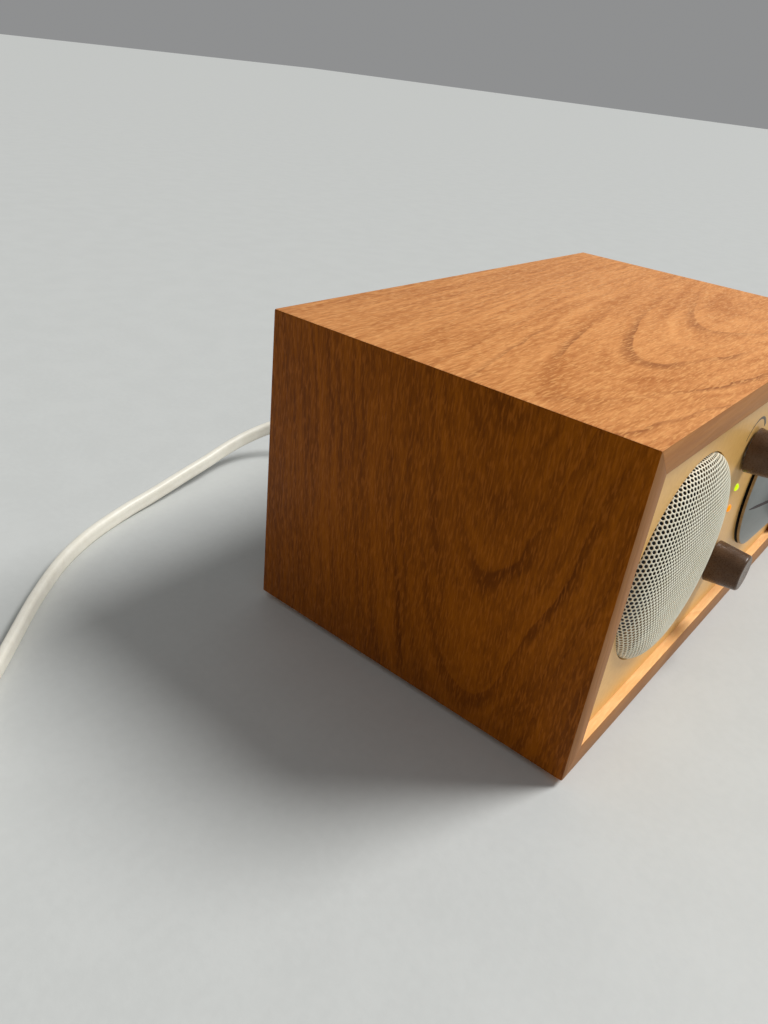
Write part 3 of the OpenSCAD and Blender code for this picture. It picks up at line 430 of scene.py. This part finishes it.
tie = piece("coil_tie", tie, [tie_paper], "root")

# The length of the whole cord
cord_length = sum((b - a).length for a, b in zip(cord_line, cord_line[1:]))


# The table and the light: a plain pale table top, a large soft light from the right and
# above, and an even pale surround that fills the shadows.
table_half = 12
table = bmesh.new()  # in metres
bmesh.ops.create_grid(table, x_segments=1, y_segments=1, size=table_half)
table_skin = bpy.data.meshes.new("table")
table.to_mesh(table_skin)
table.free()
cloth = mottled("table_vinyl", (204, 206, 203), (201, 203, 200), 3, 0.6, 0.05)
table_skin.materials.append(cloth.material)
table_top = bpy.data.objects.new("table", table_skin)
bpy.context.scene.collection.objects.link(table_top)

window = bpy.data.lights.new("window", "SUN")
window.energy = 3.0
window.angle = radians(22)
window_stand = bpy.data.objects.new("window", window)
window_way = Vector((-0.56, 0.36, -0.75))
window_stand.rotation_euler = window_way.to_track_quat("-Z", "Y").to_euler()
bpy.context.scene.collection.objects.link(window_stand)

surround = bpy.data.worlds.new("surround")
bpy.context.scene.world = surround
surround.use_nodes = True
air = surround.node_tree.nodes["Background"]
air.inputs["Color"].default_value = (0.98, 0.99, 1, 1)
air.inputs["Strength"].default_value = 0.28


# The cabinet: four boards of reddish brown veneered wood, glued in mitres at the corners,
# with the grain along each board and oiled to a satin sheen. Pine blocks stiffen it inside,
# cleats carry the back, and it stands on four rubber feet.
def veneer(name, along, across, light, dark, tip, middle, pitch, figure=1.0, glints=1.0):
    """Plain-sawn wood: nested arches round a middle line, streaks, and short bright flecks.

    tip and middle place the arches, pitch is their distance along the grain, and figure and
    glints say how much of the arches and of the flecks shows.
    """
    finish = Finish(name, specular_ior_level=0.12, specular_tint=(1, 0.66, 0.36))
    wander = finish.noise(finish.place(), 60, 2)
    sway = finish.noise(finish.place(), 17, 3)
    # The place along and across the grain, bent a little by both noises
    u = finish.axis(along) + (wander - 0.5) * 34 + (sway - 0.5) * 7
    v = finish.axis(across) - middle + (sway - 0.5) * 5 + (wander - 0.5) * 10
    # The rings, whose arches are round at the middle line and ever steeper beside it
    aside = (v * v + 130).root()
    arch = (aside - 11.4) * (aside * 0.06 + 1.9)
    rings = (u - tip - arch) / pitch
    part = rings.after_point()
    # Late wood darkens towards each ring's end and stops there
    late = finish.step(part, 0.74, 0.965) * (1 - finish.step(part, 0.97, 1.0))
    layers = finish.node("ShaderNodeCombineXYZ", None, {0: rings * 0.012, 1: u * 0.00008, 2: v * 0.00016})
    growth = finish.noise(layers, 4, 3)
    # Tones that change from ring to ring, in patches, in streaks and in dashes along the grain
    patch_at, streak_at, dash_at = (finish.place([long if a == along else 1 for a in "XYZ"])
                                    for long in (0.35, 0.05, 0.16))
    patch = finish.noise(patch_at, 24, 2)
    streak = finish.noise(streak_at, 1.4, 3)
    dash = finish.noise(dash_at, 0.7, 2, 0.15)
    fleck = finish.step(finish.noise(dash_at, 0.62, 1, 0.2), 0.5, 0.68) * glints
    pore = finish.step(finish.noise(dash_at, 0.5, 1, 0.2), 0.58, 0.72) * glints
    mixed = growth * 0.5 + patch * 0.2 + streak * 0.2 + dash * (0.4 * glints)
    body = finish.step(mixed, 0.29 + 0.13 * glints, 0.61 + 0.27 * glints)
    base = finish.tint(body, paint(*dark), paint(*light))
    # The arches fade in places and far from the middle line
    fade = finish.step(patch * 0.5 + wander * 0.5, 0.42, 0.62)
    steep = finish.step(aside, 22, 50)
    shade = late * (fade * 0.7 + 0.12) * (1 - steep * 0.6) * figure + pore * 0.14
    wood = finish.tint(1.0, base, finish.tint(shade, (1, 1, 1), (0.5, 0.42, 0.4)), "MULTIPLY")
    bright = tuple(min(1, c * 1.25 + 0.01) for c in paint(*light))
    finish.feed("Base Color", finish.tint(fleck * 0.5, wood, bright))
    finish.feed("Roughness", 0.5 - fleck * 0.12 + pore * 0.15 + (streak - 0.5) * 0.15)
    finish.relief(dash * 0.6 + streak * 0.3 - pore * 0.5, 0.08)
    return finish


def block(low, high):
    """A block between two corners."""
    shape = bmesh.new()
    bmesh.ops.create_cube(shape, size=1)
    low, high = Vector(low), Vector(high)
    bmesh.ops.scale(shape, vec=high - low, verts=shape.verts)
    bmesh.ops.translate(shape, vec=(low + high) / 2, verts=shape.verts)
    return shape


def rounded(shape, width):
    """All edges of a shape rounded off."""
    bmesh.ops.bevel(shape, geom=shape.edges[:], offset=width, affect="EDGES", segments=2,
                    profile=0.5, material=-1, clamp_overlap=True)


def cut(shape, point, normal):
    """The part of a shape behind a plane, closed again."""
    geom = shape.verts[:] + shape.edges[:] + shape.faces[:]
    made = bmesh.ops.bisect_plane(shape, geom=geom, plane_co=point, plane_no=normal, clear_outer=True)
    rim = [e for e in made["geom_cut"] if isinstance(e, bmesh.types.BMEdge)]
    bmesh.ops.edgeloop_fill(shape, edges=rim)


out_x, in_x = 106.5, 97.5
front_y, back_y = -61.2, 71.2
low_z, floor_z, ceil_z, top_z = 2, 10.8, 103.2, 112.4
edge_round = 0.6
mitre_seam = 0.03
top_wood = veneer("top_veneer", "X", "Y", (242, 168, 102), (192, 118, 62), -35, -27, 56)
# The sides' veneer is painted darker and redder than the top's: painted shade of a side that faces away from
# the light, used on both sides.
side_wood_painted_shade = veneer("side_veneer_painted_shade", "Z", "Y", (160, 86, 5), (108, 52, 0), 63, -21, 50, glints=0.8)
edge_across = veneer("front_edge_across", "X", "Z", (178, 124, 72), (158, 104, 56), 0, 0, 60, 0.1, 0.1)
edge_upright = veneer("front_edge_upright", "Z", "X", (168, 117, 72), (146, 98, 56), 0, 0, 60, 0.1, 0.1)
# The ledge inside the front, the bottom board's upper face, is painted lighter and more orange: painted
# light where the light falls on it.
ledge_wood_painted_light = veneer("ledge_painted_light", "X", "Y", (252, 200, 140), (241, 180, 114), 20, -40, 46, 0.3, 0.5)
boards = {
    "top_board": ((-out_x, front_y, ceil_z), (out_x, back_y, top_z), top_wood, edge_across),
    "bottom_board": ((-out_x, front_y, low_z), (out_x, back_y, floor_z), top_wood, edge_across),
    "left_side": ((-out_x, front_y, low_z), (-in_x, back_y, top_z), side_wood_painted_shade, edge_upright),
    "right_side": ((in_x, front_y, low_z), (out_x, back_y, top_z), side_wood_painted_shade, edge_upright),
}
corners = [(s * out_x, s * in_x, *heights) for s in (-1, 1)
           for heights in ((top_z, ceil_z), (low_z, floor_z))]
for node, (low, high, face_wood, edge_wood) in boards.items():
    board = block(low, high)
    rounded(board, edge_round)
    middle = (Vector(low) + Vector(high)) / 2
    for outer_x, inner_x, outer_z, inner_z in corners:
        corner = Vector((outer_x, 0, outer_z))
        mitre = Vector((inner_x, 0, inner_z)) - corner
        normal = mitre.cross(Vector((0, 1, 0))).normalized()
        if (middle - corner).dot(normal) > 0:
            normal = -normal
        # Each board has a mitre at the two corners that lie within its own thickness
        if min(abs(middle.z - outer_z), abs(middle.x - outer_x)) < out_x - in_x:
            cut(board, corner - normal * mitre_seam, normal)
    for face in board.faces:
        face.material_index = 1 if face.normal.y < -0.5 else 0
        # Painted light: the bottom board's upper face gets the lighter ledge veneer.
        if node == "bottom_board" and face.normal.z > 0.9:
            face.material_index = 2
    name = node.split("_")[0] + "_veneered_board"
    piece(name, board, [face_wood, edge_wood, ledge_wood_painted_light], "root", (node,))

pine = veneer("planed_pine", "X", "Z", (226, 192, 136), (204, 164, 106), 0, 40, 30)
dress(pine, "back_cleats", "corner_blocks")
fibreboard = mottled("fibreboard", (176, 140, 96), (140, 106, 68), 0.8, 0.8, 0.06)
dress(fibreboard, "baffle_board")
steel = mottled("zinc_plated_steel", (206, 208, 206), (172, 174, 176), 0.6, 0.3, 0.01, metallic=0.9)
dress(steel, "block_screws")
rubber = mottled("foot_rubber", (44, 44, 45), (30, 30, 31), 0.4, 0.75, 0.04)
dress(rubber, "rubber_feet")


# The front panel: a thin sheet painted in champagne satin, with round openings for the
# grille and the dial's hub, and a tapering mark printed round the volume knob. It lies
# against the baffle board.
panel_y = -58.0
axis_x = 53.0
axis_z = 58.4
volume_z = 81.4
selector_z = 35.6
champagne = mottled("champagne_paint", (236, 187, 110), (229, 178, 102), 0.25, 0.36, 0.006,
                    metallic=0.08, specular_ior_level=0.35)
dress(champagne, "front_panel")


def face_front(shape):
    """An open sheet's faces turned to the front."""
    bmesh.ops.recalc_face_normals(shape, faces=shape.faces)
    if sum(f.normal.y for f in shape.faces) > 0:
        bmesh.ops.reverse_faces(shape, faces=shape.faces)


mark_r = 11.6
mark_start, mark_sweep = 150, 115
mark_thin, mark_growth = 0.15, 0.5
mark_rise, mark_t = 0.06, 0.04
mark = bmesh.new()
for vert in bmesh.ops.create_grid(mark, x_segments=40, y_segments=1, size=0.5)["verts"]:
    share = vert.co.x + 0.5
    angle = radians(mark_start - mark_sweep * share)
    radius = mark_r + (mark_thin + mark_growth * share) * 2 * vert.co.y
    vert.co = (radius * cos(angle), panel_y - mark_rise, volume_z + radius * sin(angle))
face_front(mark)
bmesh.ops.solidify(mark, geom=mark.faces[:], thickness=mark_t)
ink = mottled("printed_ink", (112, 100, 84), (92, 82, 68), 0.3, 0.5, 0.005)
piece("volume_mark", mark, [ink], "root")


# The dial's scale: plain numbers and short strokes, printed on the panel in a thin ink
# along the second part of the pointer's half turn.
scale = (88, 92, 96, 100, 104, 108)
scale_start = 132
number_step = 23
strokes_per_number = 4
number_h = 2.8
number_r = 40.2
stroke_r = 35.4
stroke_w = 0.24
ink_t = 0.04
numbers = bmesh.new()
for i, number in enumerate(scale):
    angle = radians(scale_start - number_step * i)
    words = bpy.data.curves.new("number", "FONT")
    words.body = str(number)
    words.size = number_h
    words.align_x = "CENTER"
    words.align_y = "CENTER"
    words.extrude = ink_t / 2
    flat = drawn_mesh(bpy.data.objects.new("number", words))
    place = Vector((axis_x + number_r * cos(angle), panel_y - ink_t, axis_z + number_r * sin(angle)))
    flat.transform(Matrix.Translation(place) @ Matrix.Rotation(radians(90), 4, "X"))
    numbers.from_mesh(flat)
    bpy.data.meshes.remove(flat)
piece("scale_numbers", numbers, [ink], "root")
strokes = bmesh.new()
for i in range((len(scale) - 1) * strokes_per_number + 1):
    angle = radians(scale_start - number_step / strokes_per_number * i)
    reach = 1.6 if i % strokes_per_number == 0 else 0.9
    tick = block((stroke_r, -ink_t, -stroke_w / 2), (stroke_r + reach, 0.0, stroke_w / 2))
    bmesh.ops.transform(tick, matrix=Matrix.Translation((axis_x, panel_y, axis_z))
                        @ Matrix.Rotation(-angle, 4, "Y"), verts=tick.verts)
    joined(strokes, tick)
piece("scale_strokes", strokes, [ink], "root")


# The grille: a domed steel sheet punched with small round holes in a staggered pattern, right
# to its rim, painted cream, and clamped by its flange behind the panel.
hole_r = 0.58
hole_pitch = 1.545
column_pitch = hole_pitch * cos(radians(30))
hole_sides = 12
cell_verts = 2 * hole_sides
edge_land = 0.15
grille_r = 35.5
dome_h = 7.1
dome_rim = 0.6
skirt_h = -2.0
flange_w = 3.3
sheet_t = 0.14
dome_steps = 400
# Points down the dome and its skirt: the way along the sheet, the radius and the height
dome_line = [(0.0, 0.0, dome_h - dome_rim)]
for i in range(1, dome_steps + 1):
    angle = pi / 2 * i / dome_steps
    r = grille_r * sin(angle) ** 0.5
    h = dome_h * cos(angle) - dome_rim
    s = dome_line[-1][0] + hypot(r - dome_line[-1][1], h - dome_line[-1][2])
    dome_line.append((s, r, h))
dome_line.append((dome_line[-1][0] - dome_rim - skirt_h, grille_r, skirt_h))
dome_reach = dome_line[-1][0]


def on_dome(flat_r):
    """The radius and the height of the dome at a distance from its middle along the sheet."""
    low, high = 0, len(dome_line) - 1
    while high - low > 1:
        middle = (low + high) // 2
        if dome_line[middle][0] <= flat_r:
            low = middle
        else:
            high = middle
    (s0, r0, h0), (s1, r1, h1) = dome_line[low], dome_line[high]
    share = min(1, (flat_r - s0) / (s1 - s0))
    return r0 + (r1 - r0) * share, h0 + (h1 - h0) * share


def punched_sheet(reach):
    """A flat sheet of six-sided cells with a round hole each, out to a reach."""
    cell = bmesh.new()
    hole = bmesh.ops.create_circle(cell, segments=hole_sides, radius=hole_r)["verts"]
    rim = bmesh.ops.create_circle(cell, segments=hole_sides, radius=hole_pitch / 2)["verts"]
    for vert in rim:
        angle = vert.co.xy.angle_signed(Vector((1, 0)))
        # The middles of the cell's six sides are half the pitch away, its corners further
        off = abs((angle - pi / 2 + pi / 6) % (pi / 3) - pi / 6)
        vert.co *= 1 / cos(off)
    edges = {e for v in hole + rim for e in v.link_edges}
    bmesh.ops.bridge_loops(cell, edges=list(edges))
    draft = bpy.data.meshes.new("cell")
    cell.to_mesh(draft)
    cell.free()
    column = bmesh.new()
    rows = int(reach / hole_pitch) + 1
    for row in range(-rows, rows + 1):
        column.from_mesh(draft)
        bmesh.ops.translate(column, vec=(0, row * hole_pitch, 0), verts=column.verts[-cell_verts:])
    column.to_mesh(draft)
    column.free()
    sheet = bmesh.new()
    per_column = len(draft.vertices)
    columns = int(reach / column_pitch) + 1
    for number in range(-columns, columns + 1):
        sheet.from_mesh(draft)
        shift = Vector((number * column_pitch, (number % 2) * hole_pitch / 2, 0))
        bmesh.ops.translate(sheet, vec=shift, verts=sheet.verts[-per_column:])
    bpy.data.meshes.remove(draft)
    far = []
    for first in range(0, len(sheet.verts), cell_verts):
        cell = sheet.verts[first:first + cell_verts]
        middle = sum((v.co for v in cell), Vector()) / cell_verts
        if middle.length > reach - hole_r - edge_land:
            far += cell
    bmesh.ops.delete(sheet, geom=far, context="VERTS")
    bmesh.ops.remove_doubles(sheet, verts=sheet.verts, dist=0.02)
    bmesh.ops.rotate(sheet, matrix=Matrix.Rotation(pi / 2, 3, "Z"), verts=sheet.verts)
    return sheet


sheet = punched_sheet(dome_reach)
# The sheet's ragged edge is drawn out to the skirt's foot, and from there to the flange
edge_band = 1.8
hole_links = 3
border = [e for e in sheet.edges if e.is_boundary
          and all(len(v.link_edges) > hole_links or v.co.length > dome_reach - edge_band
                  for v in e.verts)]
for vert in extruded(sheet, border):
    vert.co *= dome_reach / vert.co.length
for vert in sheet.verts:
    away = vert.co.length
    if away > 1e-6:
        r, h = on_dome(away)
        vert.co = (vert.co.x * r / away, -h, vert.co.y * r / away)
    else:
        vert.co = (0, -(dome_h - dome_rim), 0)
border = [e for e in sheet.edges if e.is_boundary and min(v.co.y for v in e.verts) > -skirt_h - 0.01]
wider = (grille_r + flange_w) / grille_r
for vert in extruded(sheet, border):
    vert.co = (vert.co.x * wider, -skirt_h, vert.co.z * wider)
face_front(sheet)
bmesh.ops.translate(sheet, vec=(-axis_x, panel_y, axis_z), verts=sheet.verts)
cream = mottled("cream_paint", (248, 244, 222), (238, 233, 208), 0.6, 0.4, 0.01)
grille = piece("punched_grille", sheet, [cream], "root", ("speaker_grille",), crease=50)
wall = grille.modifiers.new("sheet", "SOLIDIFY")
wall.thickness = sheet_t * MM
wall.offset = -1


# The loudspeaker behind the grille: a black paper cone and dust cap in a rubber roll, a
# steel basket, a honey-coloured spider, and a ferrite ring between plated steel plates.
paper = mottled("cone_paper", (52, 52, 54), (34, 34, 36), 0.7, 0.85, 0.06)
dress(paper, "speaker_cone", "dust_cap")
roll = mottled("roll_rubber", (40, 40, 41), (30, 30, 31), 0.5, 0.6, 0.02)
dress(roll, "speaker_surround", "speaker_gasket")
basket = mottled("basket_paint", (58, 58, 60), (44, 44, 46), 0.4, 0.4, 0.02)
dress(basket, "speaker_basket")
copper = mottled("enamelled_copper", (206, 132, 82), (160, 90, 50), 0.3, 0.32, 0.03,
                 stretch=(1, 1, 0.2), metallic=0.7)
dress(copper, "voice_coil")
spider = mottled("spider_cloth", (214, 178, 104), (176, 138, 70), 0.35, 0.9, 0.08)
dress(spider, "speaker_spider")
plated = mottled("passivated_steel", (200, 200, 196), (162, 164, 166), 0.8, 0.36, 0.01,
                 stretch=(1, 0.3, 1), metallic=0.85)
dress(plated, "speaker_top_plate", "speaker_yoke")
ferrite = mottled("fired_ferrite", (76, 76, 78), (54, 54, 56), 0.5, 0.7, 0.05)
dress(ferrite, "speaker_magnet")
dress(steel, "speaker_screws")


# The small knobs: turned from dark brown plastic with a satin skin, slightly tapered, with a
# rounded end edge and a shallow dish in the end. They press on to the shafts of the volume
# control and the selector switch, which nuts under the knobs hold to the panel.
def turned(profile, roundings, x, z, steps=96):
    """A closed profile of radius and reach, its corners rounded, spun round a line to the front."""
    shape = bmesh.new()
    verts = [shape.verts.new((r, -h, 0)) for r, h in profile]
    face = shape.faces.new(verts)
    for index, width in roundings.items():
        bmesh.ops.bevel(shape, geom=[verts[index]], offset=width, affect="VERTICES",
                        segments=5, profile=0.5, material=-1)
    bmesh.ops.delete(shape, geom=shape.faces[:], context="FACES_ONLY")
    axle = [e for e in shape.edges if all(v.co.x < 1e-6 for v in e.verts)]
    bmesh.ops.delete(shape, geom=axle, context="EDGES")
    bmesh.ops.spin(shape, geom=shape.verts[:] + shape.edges[:], cent=(0, 0, 0), axis=(0, 1, 0),
                   dvec=(0, 0, 0), angle=2 * pi, steps=steps, use_merge=True)
    bmesh.ops.remove_doubles(shape, verts=shape.verts, dist=0.001)
    bmesh.ops.recalc_face_normals(shape, faces=shape.faces)
    bmesh.ops.translate(shape, vec=(x, panel_y, z), verts=shape.verts)
    return shape


brown = mottled("brown_plastic", (94, 73, 56), (82, 62, 46), 0.5, 0.28, 0.006, specular_ior_level=0.2)
knob_profile = [(3.02, 3), (4.6, 3), (4.6, 9.5), (6, 9.5), (6.6, 0.8), (8.2, 0.8), (7, 13.2), (5, 13.05),
                (0, 12.9), (0, 11.5), (3.02, 11.5)]
for word, z in (("volume", volume_z), ("selector", selector_z)):
    piece(word + "_turned_knob", turned(knob_profile, {6: 1.0, 5: 0.3}, 0, z), [brown], word,
          (word + "_knob",))
shaft = mottled("bright_shaft", (204, 204, 200), (176, 177, 176), 0.4, 0.25, 0.01, metallic=0.9)
dress(shaft, "volume_shaft", "selector_shaft")
phenolic = mottled("phenolic_board", (128, 92, 56), (98, 68, 40), 0.5, 0.6, 0.02)
dress(phenolic, "selector_switch")
dress(plated, "volume_control")
dress(steel, "control_nuts")


# The two lamps: coloured lenses with a rounded tip and a flange behind the panel, lit from
# inside, on a small circuit board behind the baffle.
def lamp(name, colour, glow, z):
    """A lens at a height on the middle line, glowing between two tones."""
    lens_finish = Finish(name + "_lens", roughness=0.35, specular_ior_level=0.2)
    dapple = lens_finish.noise(lens_finish.place(), 0.5, 2)
    dim = tuple(c * 0.25 for c in paint(*colour))
    lens_finish.feed("Base Color", dim)
    lens_finish.feed("Emission Color", lens_finish.tint(dapple, paint(*glow), paint(*colour)))
    lens_finish.feed("Emission Strength", 1.0)
    profile = [(0, 0.85), (1.0, 0.62), (1.5, 0.1), (1.5, -2), (1.9, -2), (1.9, -2.8), (0, -2.8)]
    piece(name + "_lens", turned(profile, {1: 0.4, 2: 0.3}, 0, z, 48), [lens_finish], "root",
          (name + "_lamp",), crease=60)


green_z, amber_z = 66.3, 57.7
lamp("green", (196, 240, 0), (222, 255, 0), green_z)
lamp("amber", (255, 136, 0), (255, 166, 0), amber_z)
board_green = mottled("solder_mask", (30, 104, 60), (18, 80, 44), 0.8, 0.35, 0.02)
dress(board_green, "lamp_board")


# The tuning dial: a shallow grey cone with a thin printed pointer and an edge painted tan, a
# painted reflection of the panel, over a black ring on the panel painted as the shade under the
# dial's rim. The brown knob in its middle turns it through a ball drive.
dial_grey = mottled("dial_grey_paint", (152, 157, 156), (147, 152, 150), 0.5, 0.42, 0.01)
dial_edge_reflection = mottled("dial_edge_painted_reflection", (176, 146, 100), (150, 122, 80), 0.4, 0.5, 0.01)
dial_r = 34
dial_edge = 1.9
face_r = 20.9
face_h = 7.5
dial_profile = [(4.62, 5.4), (20.5, 5.4), (20.5, face_h), (face_r, face_h), (dial_r, dial_edge),
                (dial_r, 1.0), (32.8, 1.0), (20, 4.2), (6.4, 4.2), (6.4, -6), (4.62, -6)]
dial_shape = turned(dial_profile, {4: 0.25}, axis_x, axis_z, 160)
# Faces at the dial's outer edge take the tan: a painted reflection of the panel in the rim.
for face in dial_shape.faces:
    at = face.calc_center_median() - Vector((axis_x, panel_y, axis_z))
    face.material_index = 1 if at.xz.length > dial_r - 0.4 else 0
piece("conical_dial", dial_shape, [dial_grey, dial_edge_reflection], "dial", ("tuning_dial",), crease=40)

pointer_tip = 32
pointer_l = 10.9
pointer_rise = 0.05
pointer_turn = radians(-195)
pointer = bmesh.new()
bmesh.ops.create_grid(pointer, x_segments=16, y_segments=2, size=0.5)
for vert in pointer.verts:
    share = vert.co.x + 0.5
    reach = pointer_tip - pointer_l * share
    height = face_h - (reach - face_r) * (face_h - dial_edge) / (dial_r - face_r) + pointer_rise
    half = 0.02 + 0.78 * min(1, share * 3) ** 0.7
    vert.co = (reach, -height, half * 2 * vert.co.y)
face_front(pointer)
bmesh.ops.solidify(pointer, geom=pointer.faces[:], thickness=0.06)
bmesh.ops.transform(pointer, matrix=Matrix.Translation((axis_x, panel_y, axis_z))
                    @ Matrix.Rotation(pointer_turn, 4, "Y"), verts=pointer.verts)
pointer_ink = mottled("pointer_ink", (78, 62, 62), (62, 50, 52), 0.3, 0.45, 0.005)
piece("dial_pointer", pointer, [pointer_ink], "dial")

# A black ring on the panel under the dial's rim: painted shade, a dark sheet where the gap under the dial
# lies in shadow.
dial_shade_ring_black = mottled("black_painted_shade", (20, 17, 13), (11, 9, 7), 0.3, 0.95, 0.08)
shade_ring_profile = [(8, 0.02), (8, 0.22), (34.1, 0.22), (34.1, 0.02)]
piece("dial_painted_shade_ring", turned(shade_ring_profile, {2: 0.1}, axis_x, axis_z, 128), [dial_shade_ring_black], "root")
tuning_profile = [(3.02, 6), (5, 6), (5, 10.6), (17.4, 10.6), (18.4, 6), (20, 6), (19.2, 13), (16, 12.8),
                  (0, 12.5), (0, 11.1), (3.02, 11.1)]
piece("tuning_turned_knob", turned(tuning_profile, {6: 1.4, 5: 0.3}, axis_x, axis_z, 128), [brown],
      "tuning", ("tuning_knob",))
dress(shaft, "tuning_shaft")
dress(plated, "drive_housing")
dress(brass, "drive_output")


# The works on the floor of the cabinet: the tuning capacitor on its posts, the circuit board
# with its cans and heat sink, the mains transformer, and the ferrite rod under the top.
vanes = mottled("vane_aluminium", (216, 218, 220), (188, 190, 193), 0.5, 0.32, 0.008,
                stretch=(0.3, 1, 1), metallic=0.8)
dress(vanes, "capacitor_stator", "capacitor_rotor", "coil_cans", "heat_sink")
dress(plated, "capacitor_frame")
dress(brass, "capacitor_posts", "board_spacers")
dress(board_green, "circuit_board")
sleeve = mottled("shrink_sleeve", (42, 54, 92), (30, 40, 72), 1.5, 0.3, 0.02)
dress(sleeve, "filter_capacitors")
lamination = mottled("lacquered_laminations", (104, 104, 106), (74, 74, 76), 0.35, 0.6, 0.06,
                     stretch=(0.1, 1, 0.1))
dress(lamination, "transformer_core")
dress(copper, "transformer_winding", "antenna_coil")
dress(steel, "transformer_screws")
dress(ferrite, "ferrite_rod")
clip = mottled("clip_nylon", (232, 231, 222), (216, 215, 204), 0.6, 0.5, 0.02)
dress(clip, "rod_clips")


# The back: a black hardboard panel with cooling slots, held by six screws into the cleats,
# with two sockets and the hole for the cord's relief.
hardboard = mottled("black_hardboard", (44, 42, 40), (30, 29, 28), 0.45, 0.62, 0.05)
dress(hardboard, "back_panel")
dress(steel, "back_screws")
socket_black = mottled("socket_black", (34, 34, 35), (24, 24, 25), 0.4, 0.38, 0.01)
dress(socket_black, "jack_sockets")
